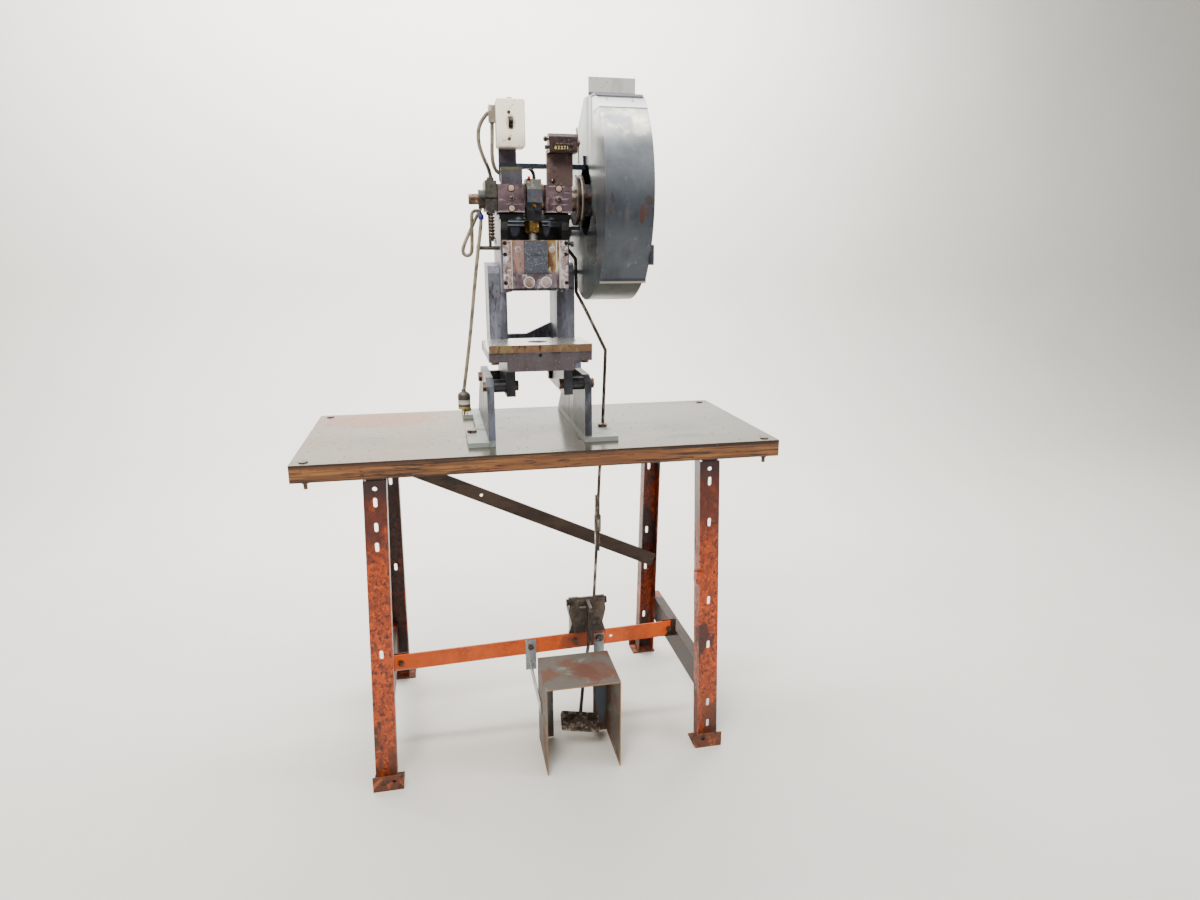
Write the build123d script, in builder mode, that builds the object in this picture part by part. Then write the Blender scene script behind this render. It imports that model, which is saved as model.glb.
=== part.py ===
from build123d import *
from math import atan2, cos, degrees, radians, sin, sqrt, tan
import os

# A small punch press bolted on a steel-topped work bench and tripped by a foot treadle.
# Heights are from the floor, widths from the bench's middle and depths (y) from the bench
# top's front edge. bench_front_y puts that edge in the shared frame, whose origin is the
# middle of the whole machine's footprint.
os.makedirs("parts", exist_ok=True)

# Clearances
fit_run = 0.05
fit_slide = 0.3
fit_loose = 0.8

# Bench top: two planks under one steel sheet
bench_width = 1219.2
bench_depth = 571.5
bench_height = 886.0
sheet_thick = 4.76
plank_thick = 38.1
plank_joint = 0.8
corner_bolt_in_x = 30.4
corner_bolt_in_y = 27.0
corner_bolt_r = 4.8
corner_head_r = 10.5
corner_head_thick = 2.5
corner_tail = 22.0

# Leg sets: slotted channel legs, a low rail and a top flat on each side
leg_width = 54.0
leg_depth = 44.0
leg_wall = 3.0
leg_inset = 162.7
leg_front_y = 1.6
left_splay = (28.0, 8.0)
right_splay = (24.0, -15.0)
top_flat_thick = 5.0
top_flat_width = 40.0
rail_x = bench_width / 2 - 179.6
rail_flange = 30.0
rail_height = 80.0
rail_thick = 4.0
rail_top_left = 191.0
rail_top_right = 213.0
slot_width = 9.0
slot_length = 24.0
left_slots = (381.0, 670.0, 721.0, 784.0)
right_slots = (62.0, 129.0, 310.0, 444.0, 670.0, 784.0)
round_hole_z = 818.0
round_hole_r = 5.5
clamp_z = 515.0
clamp_size = (22.0, 16.0, 30.0)

# Feet: angle brackets under the legs
foot_width = 77.5
foot_depth = 66.0
foot_lip = 42.0
foot_thick = 4.8
foot_reach = 23.0
foot_beyond = 5.5
foot_hole_r = 5.5
foot_hole_z = 26.0

# Stringer between the leg sets and the brace across the rear legs
stringer_height = 50.0
stringer_thick = 5.0
stringer_left_x = 2.0 - rail_x
stringer_right_x = rail_x - 15.0
stringer_left_z = 195.5
stringer_right_z = 217.7
tab_thick = 4.0
tab_reach = 42.0
tab_height = 57.0
tab_wing = 14.0
spare_hole_x = 223.0
brace_left = (-rail_x - 8.0, bench_height - 128.0)
brace_right = (rail_x - 5.0, 350.0)
brace_width = 44.0
brace_thick = 5.0
brace_hole_share = 0.34
frame_bolt_r = 5.0
frame_head_across = 16.0
frame_head_thick = 6.5
frame_nut_thick = 8.0

# Pedal guard: one folded sheet on two bent straps
guard_left = -27.0
guard_right = 174.0
guard_front = -53.0
guard_rear = 118.0
guard_top = 259.3
guard_low = 3.0
guard_sheet = 3.0
guard_return = 42.0
guard_hole_z = 150.0
guard_hole_r = 4.0
strap_width = 32.0
strap_thick = 4.0
strap_top = 228.0
strap_low = 130.0
strap_arm_height = 32.0
strap_arm_front = 42.0
strap_left_x = -27.0
strap_right_x = 184.0

# Treadle bracket and pivot
bracket_left = 90.0
bracket_right = 204.0
bracket_front = 277.0
bracket_rear = 330.0
bracket_top = 318.0
bracket_low = 196.0
bracket_waist = 9.0
bracket_gap = 46.0
bracket_bolt_in = 20.0
pivot_y = 290.0
pivot_z = 335.0
pivot_r = 8.0
ear_r = 16.0
hub_r = 14.0
hub_gap = 1.5

# Treadle lever and pad
lever_x = 148.0
lever_y = 252.0
lever_half = 5.0
lever_low = 222.0
lever_r = 5.0
lever_knee = (120.0, 190.0, 150.0)
pad_point = (79.0, 52.0, 78.0)
pad_width = 109.0
pad_depth = 57.0
pad_thick = 9.0
pad_slope = 25.0
pad_roll = 11.0
tread_rise = 2.0

# Trip rod, in two lengths joined by a coupler
rod_y = 234.0
rod_r = 4.5
rod_eye_r = 10.0
rod_pin_r = 4.0
rod_eye_thick = 9.2
coupler_low = 550.0
coupler_high = 690.0
coupler_width = 13.0
bench_hole_x = 185.0
bench_hole_r = 9.0

# Press: local x is measured from its centre plane
press_x = -9.0
leg_plate_in = 115.0
leg_plate_thick = 18.0
leg_plate_front = 83.0
leg_plate_rear = 530.0
leg_plate_height = 172.0
flange_thick = 12.0
left_reach = 51.0
right_reach = 71.0
flange_waist = 22.0
flange_pads = ((83.0, 262.0), (438.0, 530.0))
left_hold_x = -178.0
right_hold_x = 178.0
hold_bolt_ys = (202.0, 500.0)
hold_bolt_r = 6.3
hold_head_across = 22.0
hold_head_thick = 8.0
side_bolt_places = ((108.0, bench_height + 151.0), (300.0, bench_height + 147.0))
side_bolt_r = 7.0
side_boss_r = 16.0
side_head_across = 24.0
side_head_thick = 9.0

# Frame casting
lug_in = 61.0
lug_out = 84.0
lug_low = bench_height + 126.0
lug_front = 85.0
lug_rear = 330.0
bed_front = 49.0
bed_rear = 335.0
bed_half = 127.0
bed_low = bench_height + 218.0
bed_top = bench_height + 241.0
apron_half = 82.5
apron_low = bench_height + 194.0
apron_thick = 26.0
cross_low = bench_height + 174.0
column_in = 65.0
column_out = 112.0
column_front = 207.0
column_rear = 335.0
column_top = bench_height + 452.0
head_in = 66.3
head_out = 84.0
head_front = 121.7
head_low = bench_height + 381.0
web_thick = 24.0
web_top = bench_height + 539.0
housing_rear = 215.0
housing_half = 36.0
oil_hole_r = 4.0
shelf_front = 118.0

# Bolster
bolster_front = 45.0
bolster_rear = 205.0
bolster_top = bench_height + 259.0
bolster_tap_in = 95.0
bolster_tap_r = 6.35
bolster_drop_r = 25.4
bolster_bolt_in = 112.0
bolster_bolt_ys = (66.0, 184.0)
bolster_bolt_r = 5.0
bolster_head_across = 17.0
bolster_head_thick = 7.0

# Crankshaft, its bearings and the connecting rod
crank_y = 152.0
crank_z = bench_height + 602.0
throw = 15.875
journal_r = 19.0
crank_pin_r = 16.0
crank_web_r = 25.0
bearing_in = 26.5
bearing_out = 89.0
cap_front = 100.0
cap_half = 31.5
cap_bolt_in = 57.0
cap_bolt_rise = 23.0
cap_bolt_r = 7.0
ledge_drop = 11.0
rod_half = 18.4
big_end_y = 44.0
big_end_low = 28.0
big_end_high = 31.0
neck_y = 24.0
neck_low = bench_height + 552.0
nut_low = bench_height + 524.0
nut_across = 38.0
screw_r = 11.0
ball_z = bench_height + 479.0
ball_r = 14.0
pocket_half = 15.5

# Ram and its fittings
ram_half = 57.3
ram_front = 118.0
ram_rear = 196.0
ram_low = bench_height + 391.0
ram_top = bench_height + 506.0
tongue_half = 66.0
tongue_rear = 150.0
gib_in = 58.0
gib_out = 80.0
gib_front = 112.0
gib_bolt_zs = (ram_low + 13.0, ram_low + 81.0, ram_low + 108.0)
gib_bolt_r = 5.0
front_block_half = 28.5
front_block_low = bench_height + 425.5
front_block_front = 106.0
clamp_half = 49.5
clamp_front = 104.0
clamp_bolt_xs = (-19.0, 23.0)
clamp_bolt_z = bench_height + 406.0
clamp_bolt_r = 8.0
face_screw_xs = (-43.0, 41.0)
face_screw_z = bench_height + 484.0
face_screw_r = 5.5
punch_bore_r = 9.525

# Brake on the crankshaft's left end
crank_left = -165.0
stub_r = 12.5
collar_left = -141.0
collar_r = 22.0
drum_left = -127.5
drum_right = -99.0
drum_r = 26.0
shoe_half_y = 42.0
shoe_high = 40.0
shoe_low = 28.0
shoe_split = 3.0
brake_bolt_r = 4.0
brake_bolt_out = 34.0
brake_nut_across = 14.0
spring_low = bench_height + 511.0
spring_r = 5.9
spring_wire_r = 1.6
spring_turns = 7
anchor_z = bench_height + 488.0
anchor_r = 5.0

# Clutch, flywheel and the crankshaft's right end
collar_clutch_left = 93.0
clutch_right = 112.0
clutch_r = 60.0
clutch_groove_r = 52.0
shaft_r = 17.5
wheel_left = 113.0
wheel_right = 206.0
wheel_hub_r = 38.0
wheel_r = 178.0
wheel_rim = 26.0
rim_left = 135.0
rim_right = 195.0
wheel_web_thick = 14.0
crank_right = 211.0
latch_pin_z_rise = 3.0
belt_x = 165.0
belt_width = 13.0
belt_height = 8.0
groove_depth = 10.0

# Latch that the trip rod pulls
latch_left = 77.0
latch_thick = 9.0
latch_pivot = (262.0, bench_height + 504.0)
latch_pivot_r = 6.0
latch_slot = 13.0

# Motor behind the head
motor_y = 405.0
motor_z = bench_height + 529.0
motor_r = 62.0
motor_left = -80.0
motor_right = 95.0
motor_shaft_r = 8.0
pulley_r = 30.0
pulley_half = 12.0
mount_thick = 8.0

# Flywheel guard
shell_left = 122.0
shell_right = 233.0
shell_sheet = 2.0
shell_r = 242.0
shell_opening_r = 84.0
shell_front_low = (-5.0, bench_height + 418.0)
shell_front_high = (60.0, bench_height + 824.0)
shell_top_front = (107.0, bench_height + 834.0)
shell_top_rear = (161.0, bench_height + 840.0)
shell_rear = 480.0
shell_rear_high = bench_height + 619.0
shell_rear_low = bench_height + 512.0
shell_heel = (273.0, bench_height + 392.0)
cover_r = 285.0
cover_y = 194.0
cover_z = bench_height + 601.0
cover_top = (35.0, bench_height + 821.0)
cover_low_z = bench_height + 407.0
bracket_plate_y = 82.0
bracket_plate_top = bench_height + 871.0
bar_left = -87.0
bar_low = bench_height + 674.0
bar_height = 12.0
bar_front = 151.0
bar_thick = 6.0

# Switch post and box, and the stroke counter
post_left = -89.0
post_right = -46.0
post_thick = 6.0
post_low = bench_height + 644.0
post_top = bench_height + 804.0
box_left = -95.0
box_right = -28.0
box_low = bench_height + 717.0
box_high = bench_height + 824.0
box_front = 112.0
tower_left = 25.0
tower_right = 88.7
tower_thick = 16.0
tower_top = bench_height + 716.0
counter_left = 26.0
counter_right = 94.0
counter_front = 95.0
counter_low = bench_height + 707.0
counter_high = bench_height + 750.0
counter_shaft_z = bench_height + 730.0
counter_shaft_y = 115.0
counter_shaft_r = 4.0

# Cords
cord_r = 4.5
plug_length = 45.0
plug_r = 16.0
plug_shoulder = 6.0

# Where the bench's front edge lies in the shared frame
rear_lip_y = bench_depth - leg_front_y + foot_reach
bench_front_y = -(rear_lip_y + cover_y - cover_r) / 2


def at_x(x):
    """Sketch plane facing right, with local (y, z)."""
    return Plane(origin=(x, bench_front_y, 0), x_dir=(0, 1, 0), z_dir=(1, 0, 0))


def at_y(y):
    """Sketch plane facing the front, with local (x, z); it extrudes forward."""
    return Plane(origin=(0, bench_front_y + y, 0), x_dir=(1, 0, 0), z_dir=(0, -1, 0))


def at_z(z):
    """Sketch plane facing up, with local (x, y)."""
    return Plane(origin=(0, bench_front_y, z), x_dir=(1, 0, 0), z_dir=(0, 0, 1))


def spot(x, y, z):
    """A point given by its distances from the bench's middle, front edge and the floor."""
    return Vector(x, bench_front_y + y, z)


def block(x, y, z, mode=Mode.ADD):
    """A block between the two values of each axis."""
    with BuildSketch(at_z(z[0])) as foot:
        with Locations(((x[0] + x[1]) / 2, (y[0] + y[1]) / 2)):
            Rectangle(x[1] - x[0], y[1] - y[0])
    extrude(foot.sketch, amount=z[1] - z[0], mode=mode)


def disc_x(x, y, z, r, mode=Mode.ADD):
    """A round bar along X between the two values of x."""
    with BuildSketch(at_x(x[0])) as ring:
        with Locations((y, z)):
            Circle(r)
    extrude(ring.sketch, amount=x[1] - x[0], mode=mode)


def disc_y(y, x, z, r, mode=Mode.ADD):
    """A round bar along Y between the two values of y."""
    with BuildSketch(at_y(y[1])) as ring:
        with Locations((x, z)):
            Circle(r)
    extrude(ring.sketch, amount=y[1] - y[0], mode=mode)


def disc_z(z, x, y, r, mode=Mode.ADD):
    """A round bar along Z between the two values of z."""
    with BuildSketch(at_z(z[0])) as ring:
        with Locations((x, y)):
            Circle(r)
    extrude(ring.sketch, amount=z[1] - z[0], mode=mode)


def hexagon(plane, x, y, across, height, mode=Mode.ADD):
    """A hexagon head or nut that grows from a sketch plane."""
    with BuildSketch(plane) as head:
        with Locations((x, y)):
            RegularPolygon(across / 2, 6, major_radius=False)
    extrude(head.sketch, amount=height, mode=mode)


def side_profile(points, x, mode=Mode.ADD):
    """A closed (y, z) outline extruded between the two values of x."""
    with BuildSketch(at_x(x[0])) as outline:
        with BuildLine():
            Polyline(*points, close=True)
        make_face()
    extrude(outline.sketch, amount=x[1] - x[0], mode=mode)


def front_profile(points, y, mode=Mode.ADD):
    """A closed (x, z) outline extruded between the two values of y."""
    with BuildSketch(at_y(y[1])) as outline:
        with BuildLine():
            Polyline(*points, close=True)
        make_face()
    extrude(outline.sketch, amount=y[1] - y[0], mode=mode)


def spread(side, inner, outer):
    """World x of a span given by its distances from the press centre, on one side."""
    ends = (press_x + side * inner, press_x + side * outer)
    return (min(ends), max(ends))


def bent_bar(points, r, bend):
    """A round bar along a path with filleted corners."""
    with BuildLine() as run:
        FilletPolyline(*points, radius=bend)
    with BuildSketch(Plane(origin=run.line @ 0, z_dir=run.line % 0)) as section:
        Circle(r)
    sweep(section.sketch, path=run.line)


# Bench top
plank_top = bench_height - sheet_thick
plank_bottom = plank_top - plank_thick
plank_depth = (bench_depth - plank_joint) / 2
half_width = bench_width / 2
corners = [(x, y) for x in (corner_bolt_in_x - half_width, half_width - corner_bolt_in_x)
           for y in (corner_bolt_in_y, bench_depth - corner_bolt_in_y)]
hold_downs = [(x, y) for x in (left_hold_x, right_hold_x) for y in hold_bolt_ys]
top_holes = [(place, corner_bolt_r) for place in corners]
top_holes += [(place, hold_bolt_r) for place in hold_downs]
top_holes += [((bench_hole_x, rod_y), bench_hole_r)]

with BuildPart() as bench_planks:
    for plank_front in (0.0, plank_depth + plank_joint):
        block((-half_width, half_width), (plank_front, plank_front + plank_depth),
              (plank_bottom, plank_top))
    for place, hole_r in top_holes:
        disc_z((plank_bottom, plank_top), *place, hole_r, mode=Mode.SUBTRACT)
bench_planks.part.label = "bench_planks"
export_step(bench_planks.part, "parts/bench_planks.step")

with BuildPart() as bench_sheet:
    block((-half_width, half_width), (0.0, bench_depth), (plank_top, bench_height))
    for place, hole_r in top_holes:
        disc_z((plank_top, bench_height), *place, hole_r, mode=Mode.SUBTRACT)
bench_sheet.part.label = "bench_sheet"
export_step(bench_sheet.part, "parts/bench_sheet.step")

# Leg sets
leg_top = plank_bottom - top_flat_thick
leg_outer_top = half_width - leg_inset
rear_web_y = bench_depth - leg_front_y
stringer_back = bench_depth / 2 + stringer_thick / 2
stringer_front = stringer_back - stringer_thick
tab_bolt_x = rail_x - tab_reach / 2


def leg_middle(side, splay, z):
    """Middle of a leg at height z; its foot stands out from its top by the splay."""
    return side * (leg_outer_top - leg_width / 2 + splay * (1 - z / leg_top))


def stringer_mid(x):
    """Height of the stringer's middle at x."""
    share = (x - stringer_left_x) / (stringer_right_x - stringer_left_x)
    return stringer_left_z + share * (stringer_right_z - stringer_left_z)


def channel_section(middle, web_y, toward, z):
    """A leg's section: its web at web_y, its flanges running inward from it."""
    with BuildSketch(at_z(z)) as section:
        with Locations((middle, web_y + toward * leg_depth / 2)):
            Rectangle(leg_width, leg_depth)
        with Locations((middle, web_y + toward * (leg_depth + leg_wall) / 2)):
            Rectangle(leg_width - 2 * leg_wall, leg_depth - leg_wall, mode=Mode.SUBTRACT)
    return section.sketch


leg_sides = ((-1, "left", left_splay, left_slots, rail_top_left),
             (1, "right", right_splay, right_slots, rail_top_right))
for side, side_name, splays, slots, rail_top in leg_sides:
    rail_out = sorted((side * rail_x, side * (rail_x + rail_flange)))
    rail_web = sorted((side * rail_x, side * (rail_x + rail_thick)))
    rail_y = (leg_front_y + leg_wall, rear_web_y - leg_wall)
    tab_x = sorted((side * rail_x, side * (rail_x - tab_reach)))
    tab_y = (stringer_back, stringer_back + tab_thick)
    tab_mid = stringer_mid(side * tab_bolt_x)
    with BuildPart() as leg_set:
        for splay, web_y, toward in ((splays[0], leg_front_y, 1), (splays[1], rear_web_y, -1)):
            low = channel_section(leg_middle(side, splay, foot_thick), web_y, toward, foot_thick)
            high = channel_section(leg_middle(side, splay, leg_top), web_y, toward, leg_top)
            loft([low.face(), high.face()])
            web_outer = web_y if toward > 0 else web_y - leg_wall
            web_y_span = (web_outer, web_outer + leg_wall)
            for slot_z in slots:
                with BuildSketch(at_y(web_y_span[1])) as slot:
                    with Locations((leg_middle(side, splay, slot_z), slot_z)):
                        SlotOverall(slot_length, slot_width, rotation=90)
                extrude(slot.sketch, amount=leg_wall, mode=Mode.SUBTRACT)
            hole_x = leg_middle(side, splay, round_hole_z)
            disc_y(web_y_span, hole_x, round_hole_z, round_hole_r, mode=Mode.SUBTRACT)
        flat_mid = side * (leg_outer_top - leg_width / 2)
        block((flat_mid - top_flat_width / 2, flat_mid + top_flat_width / 2), rail_y,
              (leg_top, plank_bottom))
        block(rail_out, rail_y, (rail_top - rail_thick, rail_top))
        block(rail_web, rail_y, (rail_top - rail_height, rail_top))
        block(tab_x, tab_y, (tab_mid - tab_height / 2, tab_mid + tab_height / 2))
        disc_y(tab_y, side * tab_bolt_x, tab_mid, frame_bolt_r, mode=Mode.SUBTRACT)
        block(sorted((side * rail_x, side * (rail_x + rail_thick))), (stringer_back, tab_y[1] + tab_wing),
              (tab_mid - tab_height / 2, tab_mid + tab_height / 2))
        if side > 0:
            clamp_x = leg_middle(side, splays[0], clamp_z) - leg_width / 2
            block((clamp_x - clamp_size[0] / 2, clamp_x + clamp_size[0] / 2),
                  (leg_front_y - clamp_size[1] / 2, leg_front_y + clamp_size[1]),
                  (clamp_z - clamp_size[2] / 2, clamp_z + clamp_size[2] / 2))
    leg_set.part.label = f"leg_set_{side_name}"
    export_step(leg_set.part, f"parts/leg_set_{side_name}.step")

# Feet
with BuildPart() as feet:
    for side, _, splays, _, _ in leg_sides:
        for splay, lip_y, toward in ((splays[0], leg_front_y - foot_reach, 1),
                                     (splays[1], rear_lip_y, -1)):
            outer = leg_middle(side, splay, 0) + side * (leg_width / 2 + foot_beyond)
            foot_x = sorted((outer, outer - side * foot_width))
            lip = sorted((lip_y, lip_y + toward * foot_thick))
            block(foot_x, sorted((lip_y, lip_y + toward * foot_depth)), (0.0, foot_thick))
            block(foot_x, lip, (0.0, foot_lip))
            disc_y(lip, outer - side * foot_width * 0.7, foot_hole_z, foot_hole_r, mode=Mode.SUBTRACT)
feet.part.label = "feet"
export_step(feet.part, "parts/feet.step")

# Stringer
half = stringer_height / 2
bracket_bolt_xs = (bracket_left + bracket_bolt_in, bracket_right - bracket_bolt_in)
with BuildPart() as stringer:
    ends = [(stringer_left_x, stringer_left_z), (stringer_right_x, stringer_right_z)]
    front_profile([(ends[0][0], ends[0][1] - half), (ends[1][0] - 20, ends[1][1] - half),
                   (ends[1][0], ends[1][1]), (ends[1][0], ends[1][1] + half),
                   (ends[0][0], ends[0][1] + half)], (stringer_front, stringer_back))
    for x in (-tab_bolt_x, tab_bolt_x, strap_left_x, bracket_bolt_xs[0], bracket_bolt_xs[1], spare_hole_x):
        disc_y((stringer_front, stringer_back), x, stringer_mid(x), frame_bolt_r, mode=Mode.SUBTRACT)
stringer.part.label = "stringer"
export_step(stringer.part, "parts/stringer.step")

# Rear brace, welded across the open edges of the rear legs
brace_run = (brace_right[0] - brace_left[0], brace_right[1] - brace_left[1])
brace_back = rear_web_y - leg_depth
with BuildPart() as rear_brace:
    with BuildSketch(at_y(brace_back)) as bar:
        with Locations(((brace_left[0] + brace_right[0]) / 2, (brace_left[1] + brace_right[1]) / 2)):
            Rectangle(sqrt(brace_run[0] ** 2 + brace_run[1] ** 2), brace_width,
                      rotation=degrees(atan2(brace_run[1], brace_run[0])))
        with Locations((brace_left[0] + brace_hole_share * brace_run[0],
                        brace_left[1] + brace_hole_share * brace_run[1])):
            Circle(frame_bolt_r, mode=Mode.SUBTRACT)
    extrude(bar.sketch, amount=brace_thick)
rear_brace.part.label = "rear_brace"
export_step(rear_brace.part, "parts/rear_brace.step")

# Pedal guard
with BuildPart() as pedal_guard:
    block((guard_left, guard_right), (guard_front, guard_rear), (guard_top - guard_sheet, guard_top))
    for x in ((guard_left, guard_left + guard_sheet), (guard_right - guard_sheet, guard_right)):
        block(x, (guard_front, guard_rear), (guard_low, guard_top))
    for x in ((guard_left, guard_left + guard_return), (guard_right - guard_return, guard_right)):
        block(x, (guard_rear - guard_sheet, guard_rear), (guard_low, guard_top))
    disc_x((guard_left, guard_left + guard_sheet), guard_front + 20, guard_hole_z, guard_hole_r,
           mode=Mode.SUBTRACT)
pedal_guard.part.label = "pedal_guard"
export_step(pedal_guard.part, "parts/pedal_guard.step")

# Straps that carry the pedal guard from the stringer
strap_y = (stringer_front - strap_thick, stringer_front)
with BuildPart() as guard_straps:
    for side, strap_x, wall_x in ((-1, strap_left_x, guard_left), (1, strap_right_x, guard_right)):
        block((strap_x - strap_width / 2, strap_x + strap_width / 2), strap_y, (strap_low, strap_top))
        disc_y(strap_y, strap_x, stringer_mid(strap_x), frame_bolt_r, mode=Mode.SUBTRACT)
        block(sorted((wall_x, wall_x + side * strap_thick)), (strap_arm_front, stringer_front),
              (strap_low, strap_low + strap_arm_height))
guard_straps.part.label = "guard_straps"
export_step(guard_straps.part, "parts/guard_straps.step")

# Treadle bracket: a waisted casting over the stringer, with two bored ears
bracket_mid = (bracket_left + bracket_right) / 2
ear_spans = ((bracket_left, bracket_mid - bracket_gap / 2), (bracket_mid + bracket_gap / 2, bracket_right))
bracket_seat = stringer_mid(bracket_right) + half + 1
waist_z = bracket_seat + 30
upper = [(bracket_right - bracket_waist, waist_z), (bracket_right, bracket_top - 10),
         (bracket_right, bracket_top), (bracket_left, bracket_top),
         (bracket_left, bracket_top - 10), (bracket_left + bracket_waist, waist_z)]
with BuildPart() as treadle_bracket:
    front_profile([(bracket_left + bracket_waist, bracket_low), (bracket_right - bracket_waist, bracket_low)]
                  + upper, (stringer_back, bracket_rear))
    front_profile([(bracket_left, bracket_seat), (bracket_right, bracket_seat)] + upper,
                  (bracket_front, stringer_back))
    for x in ear_spans:
        block((x[0] + 2, x[1] - 2), (pivot_y - ear_r, pivot_y + ear_r), (bracket_top - 2, pivot_z))
        disc_x((x[0] + 2, x[1] - 2), pivot_y, pivot_z, ear_r)
        disc_x((x[0], x[1]), pivot_y, pivot_z, pivot_r + fit_run, mode=Mode.SUBTRACT)
    hub_span = (ear_spans[0][1] - 2, ear_spans[1][0] + 2)
    disc_x(hub_span, pivot_y, pivot_z, hub_r + 5, mode=Mode.SUBTRACT)
    for x in bracket_bolt_xs:
        disc_y((stringer_back, bracket_rear), x, stringer_mid(x), frame_bolt_r, mode=Mode.SUBTRACT)
treadle_bracket.part.label = "treadle_bracket"
export_step(treadle_bracket.part, "parts/treadle_bracket.step")

# Pivot pin, fixed in the lever's hub and turning in the ears
pin_span = (bracket_left - 1, bracket_right + 1)
with BuildPart() as treadle_pin:
    disc_x(pin_span, pivot_y, pivot_z, pivot_r)
    disc_x((pin_span[0] - 4, pin_span[0]), pivot_y, pivot_z, pivot_r + 3)
    disc_x((pin_span[1], pin_span[1] + 4), pivot_y, pivot_z, pivot_r + 3)
treadle_pin.part.label = "treadle_pin"
export_step(treadle_pin.part, "parts/treadle_pin.step")

# Lever: hub, front arm for the trip rod, hanging flat and the round bar to the pad
lever_hub = (hub_span[0] + hub_gap, hub_span[1] - hub_gap)
lever_span = (lever_x - lever_half, lever_x + lever_half)
pad_normal = Vector(sin(radians(pad_roll)), -sin(radians(pad_slope)), cos(radians(pad_slope)))
pad_plane = Plane(origin=spot(*pad_point), x_dir=(cos(radians(pad_roll)), 0, -sin(radians(pad_roll))),
                  z_dir=pad_normal)
with BuildPart() as treadle_lever:
    disc_x(lever_hub, pivot_y, pivot_z, hub_r)
    side_profile([(pivot_y, pivot_z + 10), (rod_y - 9, pivot_z + 7), (rod_y - 9, pivot_z - 7),
                  (lever_y - 8, pivot_z - 7), (lever_y - 8, lever_low), (lever_y + 8, lever_low),
                  (lever_y + 8, pivot_z - 12), (pivot_y, pivot_z - 12)], lever_span)
    disc_x(lever_span, rod_y, pivot_z, rod_pin_r + fit_loose, mode=Mode.SUBTRACT)
    disc_x(lever_hub, pivot_y, pivot_z, pivot_r, mode=Mode.SUBTRACT)
    bent_bar([spot(lever_x, lever_y, lever_low + 4), spot(lever_x - 4, lever_y - 3, lever_low - 18),
              spot(*lever_knee), spot(*pad_point)], lever_r, 14)
treadle_lever.part.label = "treadle_lever"
export_step(treadle_lever.part, "parts/treadle_lever.step")

# Tread pad: a cast plate with raised slanting bars
with BuildPart() as treadle_pad:
    with BuildSketch(pad_plane.offset(lever_r)) as plate:
        RectangleRounded(pad_width, pad_depth, 7)
    extrude(plate.sketch, amount=pad_thick)
    with BuildSketch(pad_plane.offset(lever_r + pad_thick)) as studs:
        with GridLocations(17, 15, 6, 3):
            Rectangle(12, 4.5, rotation=35)
    extrude(studs.sketch, amount=tread_rise)
treadle_pad.part.label = "treadle_pad"
export_step(treadle_pad.part, "parts/treadle_pad.step")

# Trip rod below the bench: cross pin, eye, round bar and flat coupler
eye_x = (lever_span[1] + fit_slide, lever_span[1] + fit_slide + rod_eye_thick)
eye_mid = (eye_x[0] + eye_x[1]) / 2
with BuildPart() as trip_rod_lower:
    disc_x(eye_x, rod_y, pivot_z, rod_eye_r)
    disc_x((lever_span[0] - 3, eye_x[0]), rod_y, pivot_z, rod_pin_r)
    bent_bar([spot(eye_mid, rod_y, pivot_z), spot(eye_mid + 1, rod_y, pivot_z + 30),
              spot(168, rod_y, coupler_low), spot(173, rod_y, coupler_high)], rod_r, 30)
    block((163, 163 + coupler_width), (rod_y - 5, rod_y + 5), (coupler_low - 30, coupler_high))
    block((162, 162 + coupler_width + 4), (rod_y - 7, rod_y + 7), (coupler_low + 30, coupler_low + 80))
trip_rod_lower.part.label = "trip_rod_lower"
export_step(trip_rod_lower.part, "parts/trip_rod_lower.step")

# Trip rod above: through the bench, cranked past the frame to the latch
latch_span = (latch_left, latch_left + latch_thick)
latch_eye = (latch_span[1] + fit_slide, latch_span[1] + fit_slide + rod_eye_thick)
rod_top_x = (latch_eye[0] + latch_eye[1]) / 2
column_side = press_x + column_out
with BuildPart() as trip_rod_upper:
    bent_bar([spot(bench_hole_x - 12, rod_y, coupler_high), spot(bench_hole_x - 9, rod_y, bench_height - 126),
              spot(bench_hole_x - 0.5, rod_y, bench_height - 38),
              spot(bench_hole_x + 0.5, rod_y, bench_height + 16), spot(bench_hole_x + 8, rod_y, bed_low),
              spot(column_side + 36, rod_y, bed_low + 109), spot(column_side + 10, rod_y, head_low - 6),
              spot(column_side + 9, rod_y, column_top + 8), spot(rod_top_x, rod_y, latch_pivot[1] - 18),
              spot(rod_top_x, rod_y, latch_pivot[1])], rod_r, 10)
    disc_x(latch_eye, rod_y, latch_pivot[1], 8)
    disc_x((latch_span[0] - 1, latch_eye[0]), rod_y, latch_pivot[1], rod_pin_r)
trip_rod_upper.part.label = "trip_rod_upper"
export_step(trip_rod_upper.part, "parts/trip_rod_upper.step")

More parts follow.
